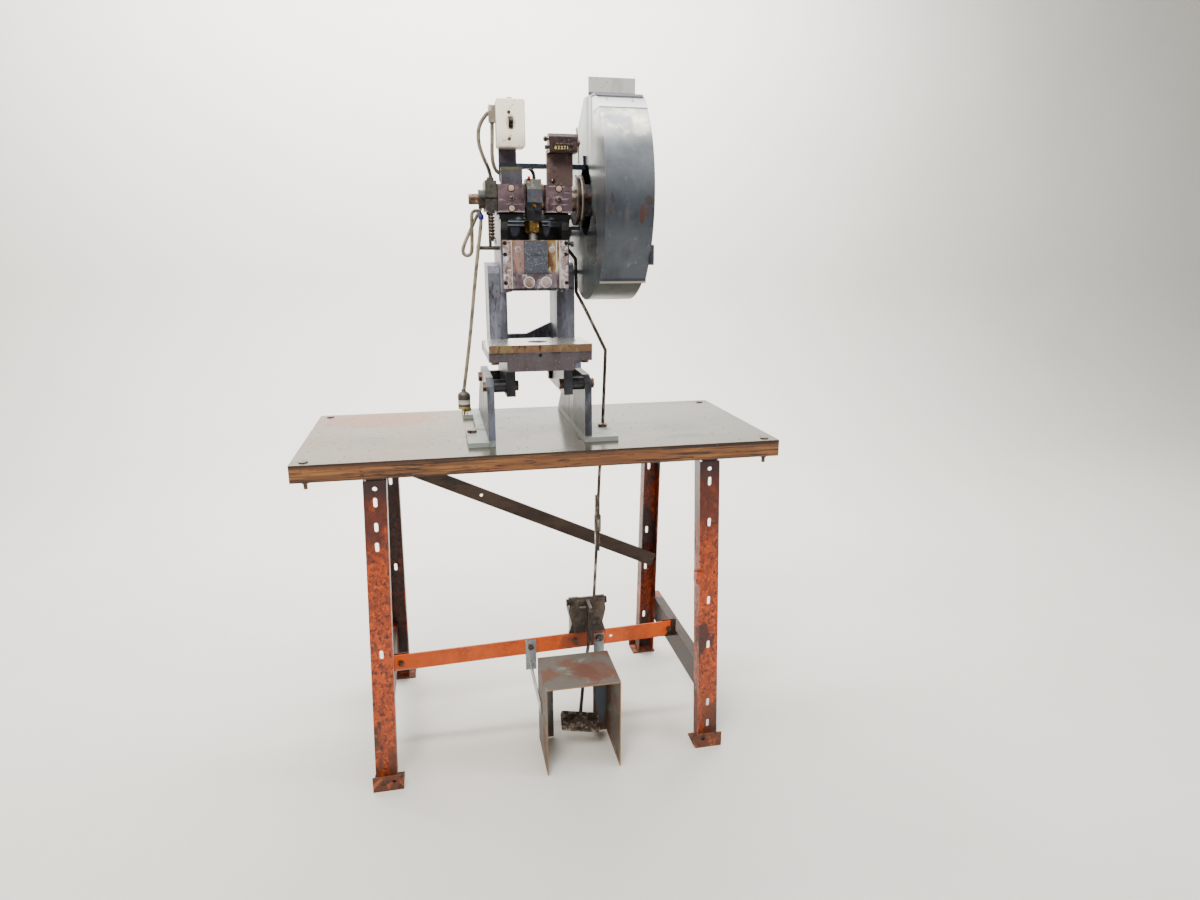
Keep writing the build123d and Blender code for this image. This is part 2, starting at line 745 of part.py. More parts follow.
# Press legs: cast plates with a foot flange and two bolt pads each
leg_plate_out = leg_plate_in + leg_plate_thick
leg_plate_top = bench_height + leg_plate_height
flange_z = (bench_height, bench_height + flange_thick)
press_legs = ((-1, "left", left_reach, left_hold_x), (1, "right", right_reach, right_hold_x))
for side, side_name, reach, hold_x in press_legs:
    with BuildPart() as press_leg:
        side_profile([(leg_plate_front, bench_height), (leg_plate_front, leg_plate_top - 18),
                      (leg_plate_front + 32, leg_plate_top), (lug_rear - 5, leg_plate_top),
                      (450, leg_plate_top - 90), (leg_plate_rear, flange_z[1]),
                      (leg_plate_rear, bench_height)], spread(side, leg_plate_in, leg_plate_out))
        for pad_span in flange_pads:
            block(spread(side, leg_plate_out, leg_plate_out + reach), pad_span, flange_z)
        block(spread(side, leg_plate_out, leg_plate_out + flange_waist),
              (flange_pads[0][1], flange_pads[1][0]), flange_z)
        for y in hold_bolt_ys:
            disc_z(flange_z, hold_x, y, hold_bolt_r, mode=Mode.SUBTRACT)
        for y, z in side_bolt_places:
            disc_x(spread(side, leg_plate_in, leg_plate_out), y, z, side_bolt_r, mode=Mode.SUBTRACT)
        if side > 0:
            flange_edge = press_x + leg_plate_out + reach
            block((bench_hole_x - bench_hole_r, flange_edge), (rod_y - bench_hole_r, rod_y + bench_hole_r),
                  flange_z, mode=Mode.SUBTRACT)
    press_leg.part.label = f"press_leg_{side_name}"
    export_step(press_leg.part, f"parts/press_leg_{side_name}.step")

# Frame casting: bed, lugs, columns, head walls, webs and bearing housings
housing_z = (crank_z - housing_half, crank_z + housing_half)
journal_bore = journal_r + fit_run
guide_in = ram_half + fit_slide
tongue_back = tongue_rear + fit_slide
bolster_mid_y = (bolster_front + bolster_rear) / 2
with BuildPart() as press_frame:
    block((press_x - bed_half, press_x + bed_half), (bed_front, bed_rear), (bed_low, bed_top))
    block((press_x - apron_half, press_x + apron_half), (bed_front, bed_front + apron_thick),
          (apron_low, bed_low))
    block((press_x - lug_in, press_x + lug_in), (lug_rear - apron_thick, lug_rear), (cross_low, bed_low))
    for side in (-1, 1):
        block(spread(side, lug_in, lug_out), (lug_front, lug_rear), (lug_low, bed_low))
        block(spread(side, lug_in, lug_out), (bed_front, lug_front), (apron_low, bed_low))
        for y, z in side_bolt_places:
            disc_x(spread(side, lug_out, leg_plate_in), y, z, side_boss_r)
            disc_x(spread(side, lug_in, leg_plate_in), y, z, side_bolt_r, mode=Mode.SUBTRACT)
        side_profile([(column_front, bed_top), (column_front, column_top - 26),
                      (column_front + 8, column_top - 8), (column_front + 26, column_top),
                      (column_rear, column_top), (column_rear, bed_top)],
                     spread(side, column_in, column_out))
        side_profile([(head_front, head_low), (head_front, crank_z - 72), (cap_front + 8, crank_z - 54),
                      (cap_front + 8, housing_z[0] - ledge_drop), (crank_y, housing_z[0] - ledge_drop),
                      (crank_y, housing_z[0]), (housing_rear, housing_z[0]), (housing_rear, crank_z + 30),
                      (column_rear, crank_z - 48), (column_rear, head_low)], spread(side, head_in, head_out))
        block(spread(side, bearing_in, bearing_out), (crank_y, housing_rear), housing_z)
        block(spread(side, bearing_in + 2, bearing_out - 2), (cap_front + 8, housing_rear),
              (housing_z[0] - ledge_drop, housing_z[0]))
        block(spread(side, guide_in, head_in), (tongue_back, ram_rear), (head_low, ram_top))
        disc_x(spread(side, bearing_in, bearing_out), crank_y, crank_z, journal_bore, mode=Mode.SUBTRACT)
        disc_x(spread(side, head_out, latch_left - press_x), *latch_pivot, latch_pivot_r)
    block((press_x - head_in, press_x + head_in), (ram_rear + fit_slide, ram_rear + web_thick),
          (head_low, web_top))
    block((press_x - head_in, press_x + head_in), (column_rear - web_thick, column_rear), (head_low, web_top))
    block((press_x - column_in, press_x + column_in), (column_rear - 15, column_rear),
          (bed_top, bolster_top))
    front_profile([(press_x - 3, bed_top), (press_x + column_in, bed_top), (press_x + column_in, bolster_top + 30),
                   (press_x - 3, bolster_top)], (column_rear - 15, column_rear))
    block(spread(-1, 28, 78), (shelf_front, bar_front + bar_thick), (crank_z + cap_half, bar_low))
    block(spread(1, apron_half, apron_half + 18), (bed_front + 8, bed_front + 38), (bed_low - 20, bed_low))
    disc_z((bed_low, bed_top), press_x, ram_front, bolster_drop_r, mode=Mode.SUBTRACT)
    disc_y((bed_front, bed_front + 12), press_x - 2, bed_top - 8, oil_hole_r, mode=Mode.SUBTRACT)
    for side in (-1, 1):
        for y in bolster_bolt_ys:
            disc_z((bed_low, bed_top), press_x + side * bolster_bolt_in, y, bolster_bolt_r,
                   mode=Mode.SUBTRACT)
press_frame.part.label = "press_frame"
export_step(press_frame.part, "parts/press_frame.step")

# Bolster plate
with BuildPart() as bolster_plate:
    block((press_x - bed_half, press_x + bed_half), (bolster_front, bolster_rear), (bed_top, bolster_top))
    chamfer(bolster_plate.edges().filter_by(Axis.Z), 2)
    disc_z((bed_top, bolster_top), press_x, ram_front, bolster_drop_r, mode=Mode.SUBTRACT)
    for side in (-1, 1):
        disc_z((bed_top, bolster_top), press_x + side * bolster_tap_in, bolster_mid_y, bolster_tap_r,
               mode=Mode.SUBTRACT)
bolster_plate.part.label = "bolster_plate"
export_step(bolster_plate.part, "parts/bolster_plate.step")

# Bolster bolts from below, and the bolts that hold the frame between its legs
with BuildPart() as bed_bolts:
    for side in (-1, 1):
        for y in bolster_bolt_ys:
            x = press_x + side * bolster_bolt_in
            disc_z((bed_low, bed_top), x, y, bolster_bolt_r)
            hexagon(at_z(bed_low - bolster_head_thick), x, y, bolster_head_across, bolster_head_thick)
        for y, z in side_bolt_places:
            disc_x(spread(side, lug_in - 4, leg_plate_out), y, z, side_bolt_r)
            head_x = spread(side, leg_plate_out, leg_plate_out + side_head_thick)
            hexagon(at_x(head_x[0]), y, z, side_head_across, side_head_thick)
            nut_x = spread(side, lug_in - side_head_thick, lug_in)
            hexagon(at_x(nut_x[0]), y, z, side_head_across, side_head_thick)
bed_bolts.part.label = "bed_bolts"
export_step(bed_bolts.part, "parts/bed_bolts.step")

# Bench bolts: corner carriage bolts, frame bolts and the press's hold-down bolts
with BuildPart() as bench_bolts:
    for x, y in corners:
        disc_z((plank_bottom - corner_tail, bench_height), x, y, corner_bolt_r)
        disc_z((bench_height, bench_height + corner_head_thick), x, y, corner_head_r)
        hexagon(at_z(plank_bottom - frame_nut_thick), x, y, frame_head_across, frame_nut_thick)
    for x, y in hold_downs:
        disc_z((plank_bottom - corner_tail, flange_z[1]), x, y, hold_bolt_r)
        hexagon(at_z(flange_z[1]), x, y, hold_head_across, hold_head_thick)
        hexagon(at_z(plank_bottom - hold_head_thick), x, y, hold_head_across, hold_head_thick)
    bolt_rows = ((-tab_bolt_x, stringer_front, tab_y[1]), (tab_bolt_x, stringer_front, tab_y[1]),
                 (strap_left_x, strap_y[0], stringer_back), (bracket_bolt_xs[0], stringer_front, bracket_rear),
                 (bracket_bolt_xs[1], strap_y[0], bracket_rear))
    for x, y_front, y_back in bolt_rows:
        z = stringer_mid(x)
        disc_y((y_front, y_back), x, z, frame_bolt_r)
        hexagon(at_y(y_front), x, z, frame_head_across, frame_head_thick)
        hexagon(at_y(y_back + frame_nut_thick), x, z, frame_head_across, frame_nut_thick)
bench_bolts.part.label = "bench_bolts"
export_step(bench_bolts.part, "parts/bench_bolts.step")

# Gib plates in front of the ram's tongues
for side, side_name in ((-1, "left"), (1, "right")):
    with BuildPart() as gib_plate:
        block(spread(side, gib_in, gib_out), (gib_front, head_front), (ram_low, ram_top))
        for z in gib_bolt_zs:
            disc_y((gib_front, head_front), press_x + side * (head_in + head_out) / 2, z, gib_bolt_r,
                   mode=Mode.SUBTRACT)
    gib_plate.part.label = f"gib_plate_{side_name}"
    export_step(gib_plate.part, f"parts/gib_plate_{side_name}.step")

# Bearing caps
crank_pin_z = crank_z + throw
cap_z = (crank_z - cap_half, crank_z + cap_half)
for side, side_name in ((-1, "left"), (1, "right")):
    with BuildPart() as bearing_cap:
        block(spread(side, bearing_in, bearing_out), (cap_front, crank_y), cap_z)
        disc_x(spread(side, bearing_in, bearing_out), crank_y, crank_z, journal_bore, mode=Mode.SUBTRACT)
    bearing_cap.part.label = f"bearing_cap_{side_name}"
    export_step(bearing_cap.part, f"parts/bearing_cap_{side_name}.step")

# Cap bolts with an oil plug between each pair
with BuildPart() as cap_bolts:
    for side in (-1, 1):
        x = press_x + side * cap_bolt_in
        disc_y((cap_front - 2, cap_front), x, crank_z + cap_bolt_rise, cap_bolt_r)
        disc_y((cap_front - 2, cap_front), x, crank_z - cap_bolt_rise, cap_bolt_r)
        disc_y((cap_front - 3, cap_front), x, crank_z, cap_bolt_r - 2)
        disc_y((cap_front - 5, cap_front - 3), x, crank_z, cap_bolt_r - 4)
cap_bolts.part.label = "cap_bolts"
export_step(cap_bolts.part, "parts/cap_bolts.step")

# Socket screws of the gib plates and hexagon bolts on the head's right wall
wall_right = press_x + head_out
with BuildPart() as head_screws:
    for side in (-1, 1):
        x = press_x + side * (head_in + head_out) / 2
        for z in gib_bolt_zs:
            disc_y((gib_front + 1.5, head_front), x, z, gib_bolt_r)
    for z in (ram_top - 9, ram_low + 1):
        disc_x((wall_right, wall_right + 6), 132, z, 4)
        hexagon(at_x(wall_right + 6), 132, z, 13, 7)
head_screws.part.label = "head_screws"
export_step(head_screws.part, "parts/head_screws.step")

# Ram: a block with two tongues, a socket for the ball screw and half of the punch bore
socket_y = (crank_y - ball_r - 1, crank_y + throw + ball_r + 1)
slot_y = (crank_y - screw_r - 1, crank_y + throw + screw_r + 1)
punch_z = (ram_low, front_block_low)
with BuildPart() as ram_slide:
    block((press_x - ram_half, press_x + ram_half), (ram_front, ram_rear), (ram_low, ram_top))
    block((press_x - tongue_half, press_x + tongue_half), (head_front + fit_slide, tongue_rear),
          (ram_low, ram_top))
    block((press_x - pocket_half, press_x + pocket_half), socket_y,
          (ball_z - ball_r - 4, ball_z + ball_r + 4), mode=Mode.SUBTRACT)
    block((press_x - screw_r - 1, press_x + screw_r + 1), slot_y, (ball_z, ram_top), mode=Mode.SUBTRACT)
    disc_z(punch_z, press_x, ram_front, punch_bore_r, mode=Mode.SUBTRACT)
ram_slide.part.label = "ram_slide"
export_step(ram_slide.part, "parts/ram_slide.step")

# Adjusting block on the ram's face
with BuildPart() as ram_front_block:
    block((press_x - front_block_half, press_x + front_block_half), (front_block_front, ram_front),
          (front_block_low, ram_top - 1))
    block((press_x - 12, press_x + 12), (front_block_front, front_block_front + 1.5), (ram_low + 77, ram_low + 81),
          mode=Mode.SUBTRACT)
ram_front_block.part.label = "ram_front_block"
export_step(ram_front_block.part, "parts/ram_front_block.step")

# Clamp bar with the front half of the punch bore
with BuildPart() as punch_clamp_bar:
    block((press_x - clamp_half, press_x + clamp_half), (clamp_front, ram_front),
          (ram_low + 1, front_block_low - 0.5))
    disc_z((ram_low, front_block_low), press_x, ram_front, punch_bore_r, mode=Mode.SUBTRACT)
punch_clamp_bar.part.label = "punch_clamp_bar"
export_step(punch_clamp_bar.part, "parts/punch_clamp_bar.step")

# Clamp bolts and the screws in the ram's face
with BuildPart() as ram_bolts:
    for x in clamp_bolt_xs:
        disc_y((clamp_front - 2, clamp_front), press_x + x, clamp_bolt_z, clamp_bolt_r + 3)
        disc_y((clamp_front - 8, clamp_front - 2), press_x + x, clamp_bolt_z, clamp_bolt_r)
    for x in face_screw_xs:
        disc_y((ram_front - 4, ram_front), press_x + x, face_screw_z, face_screw_r)
ram_bolts.part.label = "ram_bolts"
export_step(ram_bolts.part, "parts/ram_bolts.step")

# Crankshaft: stub, journals, two webs, pin and the long right end with its nut
web_in = rod_half + 0.6
web_out = bearing_in - 0.5
journal_end = bearing_out + 0.5
with BuildPart() as crankshaft:
    disc_x((crank_left, press_x - journal_end), crank_y, crank_z, stub_r)
    disc_x((press_x - journal_end, press_x - web_in), crank_y, crank_z, journal_r)
    disc_x((press_x + web_in, press_x + journal_end), crank_y, crank_z, journal_r)
    disc_x((press_x - web_out, press_x + web_out), crank_y, crank_pin_z, crank_pin_r)
    for side in (-1, 1):
        web_x = spread(side, web_in, web_out)
        with BuildSketch(at_x(web_x[0])) as web:
            with Locations((crank_y, crank_z)):
                Circle(crank_web_r)
            with Locations((crank_y, crank_pin_z)):
                Circle(crank_web_r - 3)
            make_hull()
        extrude(web.sketch, amount=web_x[1] - web_x[0])
    disc_x((press_x + journal_end, wheel_right + fit_slide), crank_y, crank_z, shaft_r)
    hexagon(at_x(wheel_right + fit_slide), crank_y, crank_z, 2 * shaft_r + 12, crank_right - wheel_right)
crankshaft.part.label = "crankshaft"
export_step(crankshaft.part, "parts/crankshaft.step")

# Connecting rod: lower half of the big end and the neck that takes the ball screw
rod_x = (press_x - rod_half, press_x + rod_half)
pin_bore = crank_pin_r + fit_run
big_end_z = crank_pin_z - big_end_low
with BuildPart() as connecting_rod:
    side_profile([(crank_y - big_end_y, crank_pin_z), (crank_y - big_end_y, big_end_z + 4),
                  (crank_y - neck_y, big_end_z), (crank_y - neck_y, neck_low),
                  (crank_y + neck_y, neck_low), (crank_y + neck_y, big_end_z),
                  (crank_y + big_end_y, big_end_z + 4), (crank_y + big_end_y, crank_pin_z)], rod_x)
    disc_x(rod_x, crank_y, crank_pin_z, pin_bore, mode=Mode.SUBTRACT)
    disc_z((neck_low, neck_low + 28), press_x, crank_y, screw_r, mode=Mode.SUBTRACT)
connecting_rod.part.label = "connecting_rod"
export_step(connecting_rod.part, "parts/connecting_rod.step")

# Rod cap with its sloping shoulders
with BuildPart() as rod_cap:
    side_profile([(crank_y - big_end_y, crank_pin_z), (crank_y - big_end_y, crank_pin_z + 6),
                  (crank_y - big_end_y / 2, crank_pin_z + big_end_high),
                  (crank_y + big_end_y / 2, crank_pin_z + big_end_high),
                  (crank_y + big_end_y, crank_pin_z + 6), (crank_y + big_end_y, crank_pin_z)], rod_x)
    disc_x(rod_x, crank_y, crank_pin_z, pin_bore, mode=Mode.SUBTRACT)
rod_cap.part.label = "rod_cap"
export_step(rod_cap.part, "parts/rod_cap.step")

# Ball screw and its lock nut
with BuildPart() as ball_screw:
    disc_z((ball_z, neck_low + 28), press_x, crank_y, screw_r)
    with Locations(spot(press_x, crank_y, ball_z)):
        Sphere(ball_r)
ball_screw.part.label = "ball_screw"
export_step(ball_screw.part, "parts/ball_screw.step")

with BuildPart() as lock_nut:
    hexagon(at_z(nut_low), press_x, crank_y, nut_across, neck_low - nut_low)
    disc_z((nut_low, neck_low), press_x, crank_y, screw_r, mode=Mode.SUBTRACT)
    chamfer(lock_nut.faces().sort_by(Axis.Z)[0].outer_wire().edges(), 3)
lock_nut.part.label = "lock_nut"
export_step(lock_nut.part, "parts/lock_nut.step")

# Brake drum with its collar
with BuildPart() as brake_drum:
    disc_x((drum_left, drum_right), crank_y, crank_z, drum_r)
    disc_x((collar_left, drum_left), crank_y, crank_z, collar_r)
    disc_x((collar_left, drum_right), crank_y, crank_z, stub_r, mode=Mode.SUBTRACT)
brake_drum.part.label = "brake_drum"
export_step(brake_drum.part, "parts/brake_drum.step")

# Brake shoes: two blocks drawn round the drum by two long bolts, one of them to the anchor stud
shoe_x = (drum_left + 0.5, drum_right - 0.5)
shoe_mid = (shoe_x[0] + shoe_x[1]) / 2
shoe_y = (crank_y - shoe_half_y, crank_y + shoe_half_y)
bolt_ys = (crank_y - brake_bolt_out, crank_y + brake_bolt_out)
with BuildPart() as brake_shoes:
    block(shoe_x, shoe_y, (crank_z + shoe_split / 2, crank_z + shoe_high))
    block(shoe_x, shoe_y, (crank_z - shoe_low, crank_z - shoe_split / 2))
    disc_x(shoe_x, crank_y, crank_z, drum_r + fit_slide, mode=Mode.SUBTRACT)
    disc_z((spring_low - 8, crank_z + shoe_high + 10), shoe_mid, bolt_ys[0], brake_bolt_r)
    disc_z((anchor_z, crank_z + shoe_high + 10), shoe_mid, bolt_ys[1], brake_bolt_r)
    for y in bolt_ys:
        hexagon(at_z(crank_z + shoe_high), shoe_mid, y, brake_nut_across, 7)
        hexagon(at_z(crank_z - shoe_low - 7), shoe_mid, y, brake_nut_across, 7)
    disc_z((spring_low - 3, spring_low), shoe_mid, bolt_ys[0], spring_r + 3)
    disc_x((collar_left - 7, press_x - head_out), bolt_ys[1], anchor_z, anchor_r)
    hexagon(at_x(collar_left - 7), bolt_ys[1], anchor_z, brake_nut_across, 7)
brake_shoes.part.label = "brake_shoes"
export_step(brake_shoes.part, "parts/brake_shoes.step")

# Brake spring round the front bolt
spring_height = crank_z - shoe_low - 7 - spring_low - 2 * spring_wire_r
with BuildPart() as brake_spring:
    for turn in range(spring_turns):
        with Locations(spot(shoe_mid, bolt_ys[0], spring_low + spring_wire_r
                            + turn * spring_height / (spring_turns - 1))):
            Torus(spring_r, spring_wire_r)
brake_spring.part.label = "brake_spring"
export_step(brake_spring.part, "parts/brake_spring.step")

# Clutch collar on the crankshaft, with its grooves and pin
with BuildPart() as clutch_collar:
    disc_x((collar_clutch_left, clutch_right), crank_y, crank_z, clutch_r)
    with BuildSketch(at_x(collar_clutch_left + 5)) as groove:
        with Locations((crank_y, crank_z)):
            Circle(clutch_r)
            Circle(clutch_groove_r, mode=Mode.SUBTRACT)
    extrude(groove.sketch, amount=5, mode=Mode.SUBTRACT)
    disc_x((press_x + bearing_out + 1, collar_clutch_left), crank_y, crank_z, shaft_r + 9)
    disc_x((press_x + bearing_out + 1, clutch_right), crank_y, crank_z, shaft_r, mode=Mode.SUBTRACT)
    disc_x((clutch_right, clutch_right + 22), crank_y - clutch_r + 9, crank_z + latch_pin_z_rise, 5)
clutch_collar.part.label = "clutch_collar"
export_step(clutch_collar.part, "parts/clutch_collar.step")

# Flywheel: hub, web and a rim with the belt groove
web_left = belt_x - wheel_web_thick / 2
groove_half = belt_width / 2 + fit_slide
with BuildPart() as flywheel:
    disc_x((rim_left, rim_right), crank_y, crank_z, wheel_r)
    disc_x((rim_left, web_left), crank_y, crank_z, wheel_r - wheel_rim, mode=Mode.SUBTRACT)
    disc_x((web_left + wheel_web_thick, rim_right), crank_y, crank_z, wheel_r - wheel_rim,
           mode=Mode.SUBTRACT)
    disc_x((wheel_left, wheel_right), crank_y, crank_z, wheel_hub_r)
    disc_x((wheel_left, wheel_right), crank_y, crank_z, shaft_r + fit_run, mode=Mode.SUBTRACT)
    with BuildSketch(at_x(belt_x - groove_half)) as groove:
        with Locations((crank_y, crank_z)):
            Circle(wheel_r)
            Circle(wheel_r - groove_depth, mode=Mode.SUBTRACT)
    extrude(groove.sketch, amount=2 * groove_half, mode=Mode.SUBTRACT)
flywheel.part.label = "flywheel"
export_step(flywheel.part, "parts/flywheel.step")

# Latch: arm under the clutch collar, bored for its pivot and slotted for the rod's pin
nose_y = crank_y - 8
nose_z = crank_z - clutch_r - 2
with BuildPart() as clutch_latch:
    side_profile([(latch_pivot[0] + 14, latch_pivot[1] - 12), (latch_pivot[0] + 14, latch_pivot[1] + 12),
                  (latch_pivot[0] - 20, latch_pivot[1] + 16), (nose_y + 18, nose_z),
                  (nose_y, nose_z), (nose_y, nose_z - 18), (rod_y - 14, latch_pivot[1] - 14)], latch_span)
    block((latch_span[0], clutch_right - 4), (nose_y, nose_y + 12), (nose_z - 9, nose_z))
    disc_x(latch_span, *latch_pivot, latch_pivot_r + fit_run, mode=Mode.SUBTRACT)
    with BuildSketch(at_x(latch_span[0])) as slot:
        with Locations((rod_y, latch_pivot[1])):
            SlotOverall(latch_slot, 2 * rod_pin_r + 0.6)
    extrude(slot.sketch, amount=latch_thick, mode=Mode.SUBTRACT)
clutch_latch.part.label = "clutch_latch"
export_step(clutch_latch.part, "parts/clutch_latch.step")

# Motor, its shelf, pulley and belt
foot_z = (motor_z - motor_r - 8, motor_z - motor_r + 10)
with BuildPart() as motor_body:
    disc_x((motor_left, motor_right), motor_y, motor_z, motor_r)
    chamfer(motor_body.edges().filter_by(GeomType.CIRCLE), 7)
    disc_x((motor_right, belt_x + pulley_half), motor_y, motor_z, motor_shaft_r)
    block((motor_left + 25, motor_right - 25), (motor_y - 45, motor_y + 45), foot_z)
    block((motor_left + 45, motor_right - 45), (motor_y - 26, motor_y + 26),
          (motor_z + motor_r - 12, motor_z + motor_r + 16))
motor_body.part.label = "motor_body"
export_step(motor_body.part, "parts/motor_body.step")

with BuildPart() as motor_mount:
    shelf_z = (foot_z[0] - mount_thick, foot_z[0])
    block((motor_left + 15, motor_right - 15), (column_rear, column_rear + mount_thick),
          (shelf_z[0] - 45, foot_z[0] + 30))
    block((motor_left + 15, motor_right - 15), (column_rear, motor_y + 55), shelf_z)
    for x in (motor_left + 15, motor_right - 15 - mount_thick):
        side_profile([(column_rear, shelf_z[0]), (column_rear, shelf_z[0] - 45),
                      (motor_y + 30, shelf_z[0])], (x, x + mount_thick))
motor_mount.part.label = "motor_mount"
export_step(motor_mount.part, "parts/motor_mount.step")

pulley_x = (belt_x - pulley_half, belt_x + pulley_half)
with BuildPart() as motor_pulley:
    disc_x(pulley_x, motor_y, motor_z, pulley_r)
    with BuildSketch(at_x(belt_x - groove_half)) as groove:
        with Locations((motor_y, motor_z)):
            Circle(pulley_r)
            Circle(pulley_r - groove_depth, mode=Mode.SUBTRACT)
    extrude(groove.sketch, amount=2 * groove_half, mode=Mode.SUBTRACT)
    disc_x(pulley_x, motor_y, motor_z, motor_shaft_r + fit_run, mode=Mode.SUBTRACT)
motor_pulley.part.label = "motor_pulley"
export_step(motor_pulley.part, "parts/motor_pulley.step")

with BuildPart() as drive_belt:
    belt_left = belt_x - belt_width / 2
    for shrink, mode in ((0, Mode.ADD), (belt_height, Mode.SUBTRACT)):
        with BuildSketch(at_x(belt_left)) as band:
            with Locations((crank_y, crank_z)):
                Circle(wheel_r - shrink)
            with Locations((motor_y, motor_z)):
                Circle(pulley_r - shrink)
            make_hull()
        extrude(band.sketch, amount=belt_width, mode=mode)
drive_belt.part.label = "drive_belt"
export_step(drive_belt.part, "parts/drive_belt.step")


# Guard drum: two side plates and the strip between them, open to the front
with BuildPart() as guard_drum:
    for sheet, x in ((0.0, (shell_left, shell_right)),
                     (shell_sheet, (shell_left + shell_sheet, shell_right - shell_sheet))):
        front = 20.0 if sheet > 0 else 0.0
        low = (shell_front_low[0] - front, shell_front_low[1] + sheet)
        high = (shell_front_high[0] - front, shell_front_high[1] - sheet)
        heel = (shell_heel[0] - sheet, shell_heel[1] + sheet)
        with BuildSketch(at_x(x[0])) as outline:
            with BuildLine():
                Polyline(low, high, (shell_top_front[0], shell_top_front[1] - sheet),
                         (shell_top_rear[0] - sheet / 2, shell_top_rear[1] - sheet),
                         (shell_rear - sheet, shell_rear_high - sheet / 2),
                         (shell_rear - sheet, shell_rear_low + sheet / 2), heel)
                toe = (shell_front_low[0] + sheet, shell_front_low[1] + sheet)
                ThreePointArc(heel, (crank_y, crank_z - shell_r + sheet), toe)
                if sheet > 0:
                    Line(toe, low)
            make_face()
        extrude(outline.sketch, amount=x[1] - x[0], mode=Mode.SUBTRACT if sheet > 0 else Mode.ADD)
    disc_x((shell_left, shell_left + shell_sheet), crank_y, crank_z, shell_opening_r, mode=Mode.SUBTRACT)
    disc_x((shell_left, shell_left + shell_sheet), motor_y, motor_z, motor_shaft_r + 8, mode=Mode.SUBTRACT)
guard_drum.part.label = "guard_drum"
export_step(guard_drum.part, "parts/guard_drum.step")


def cover_point(z, sheet):
    """Where the cover's round front, inside a sheet of that thickness, has height z."""
    return (cover_y - sqrt((cover_r - sheet) ** 2 - (z - cover_z) ** 2), z)


# Front cover: round front with D-shaped cheeks, open to the drum
with BuildPart() as guard_front_cover:
    low_z = shell_front_low[1]
    for sheet, x in ((0.0, (shell_left, shell_right)),
                     (shell_sheet, (shell_left + shell_sheet, shell_right - shell_sheet))):
        low = cover_point(low_z + sheet, sheet)
        high = cover_point(cover_top[1] - sheet, sheet)
        back = 20.0 if sheet > 0 else 0.0
        with BuildSketch(at_x(x[0])) as cheek:
            with BuildLine():
                ThreePointArc(low, cover_point(cover_z, sheet), high)
                Polyline(high, (shell_front_high[0] + back, shell_front_high[1] - sheet),
                         (shell_front_low[0] + back, low[1]), low)
            make_face()
        extrude(cheek.sketch, amount=x[1] - x[0], mode=Mode.SUBTRACT if sheet > 0 else Mode.ADD)
    lip_y = cover_point(low_z, 0.0)[0]
    block((shell_left, shell_right), (lip_y, lip_y + shell_sheet), (cover_low_z, low_z + shell_sheet))
    block((shell_right, shell_right + 7), (-66, -44), (cover_low_z + 42, cover_low_z + 87))
guard_front_cover.part.label = "guard_front_cover"
export_step(guard_front_cover.part, "parts/guard_front_cover.step")

# Bracket on top of the guard, with two rivets
plate_y = (bracket_plate_y - 2, bracket_plate_y)
fold_y, fold_z = shell_front_high
with BuildPart() as guard_top_bracket:
    side_profile([(6, fold_z - 7.4), (13, fold_z - 2.5), (fold_y, fold_z + 0.5),
                  (plate_y[1], fold_z + 5.6), (plate_y[1], bracket_plate_top), (plate_y[0], bracket_plate_top),
                  (plate_y[0], fold_z + 8), (fold_y, fold_z + 3.4), (12, fold_z + 0.4), (4, fold_z - 5.6)],
                 (shell_left - 5, shell_right - 4))
    for x in (shell_left + 20, shell_right - 30):
        disc_z((fold_z + 1, fold_z + 6), x, 46, 4)
guard_top_bracket.part.label = "guard_top_bracket"
export_step(guard_top_bracket.part, "parts/guard_top_bracket.step")

# Bar with a bent-up end that holds the guard to the head, and the stud on the column
with BuildPart() as guard_support_bar:
    block((bar_left, shell_left), (bar_front, bar_front + bar_thick), (bar_low, bar_low + bar_height))
    block((shell_left - bar_thick, shell_left), (bar_front - 6, bar_front + bar_thick + 6),
          (bar_low, crank_z + shell_opening_r + 20))
    disc_x((press_x + column_out, shell_left), column_rear - 35, column_top - 26, 6)
guard_support_bar.part.label = "guard_support_bar"
export_step(guard_support_bar.part, "parts/guard_support_bar.step")

# Switch post, box and toggle
post_front = bar_front + bar_thick
with BuildPart() as switch_post:
    block((post_left, post_right), (post_front, post_front + post_thick), (post_low, post_top))
switch_post.part.label = "switch_post"
export_step(switch_post.part, "parts/switch_post.step")

box_mid_x = (box_left + box_right) / 2
toggle_z = (box_low + box_high) / 2
toggle_y = box_front + 16
slot_half = 5.5
toggle_hub = slot_half - fit_slide
with BuildPart() as switch_box:
    block((box_left, box_right), (box_front, post_front), (box_low, box_high))
    fillet(switch_box.edges().filter_by(Axis.Y), 6)
    fillet(switch_box.faces().sort_by(Axis.Y)[0].edges(), 3)
    block((box_mid_x - slot_half, box_mid_x + slot_half), (box_front, toggle_y + 10), (toggle_z - 13.5, toggle_z + 13.5),
          mode=Mode.SUBTRACT)
    for z in (toggle_z - 30, toggle_z + 30):
        disc_y((box_front, box_front + 1.5), box_mid_x, z, 4, mode=Mode.SUBTRACT)
    disc_z((box_high - 2, box_high + 5), box_mid_x, post_front - 18, 7)
    block((box_left - 16, box_left + 2), (130, 152), (box_low + 57, box_low + 94))
switch_box.part.label = "switch_box"
export_step(switch_box.part, "parts/switch_box.step")

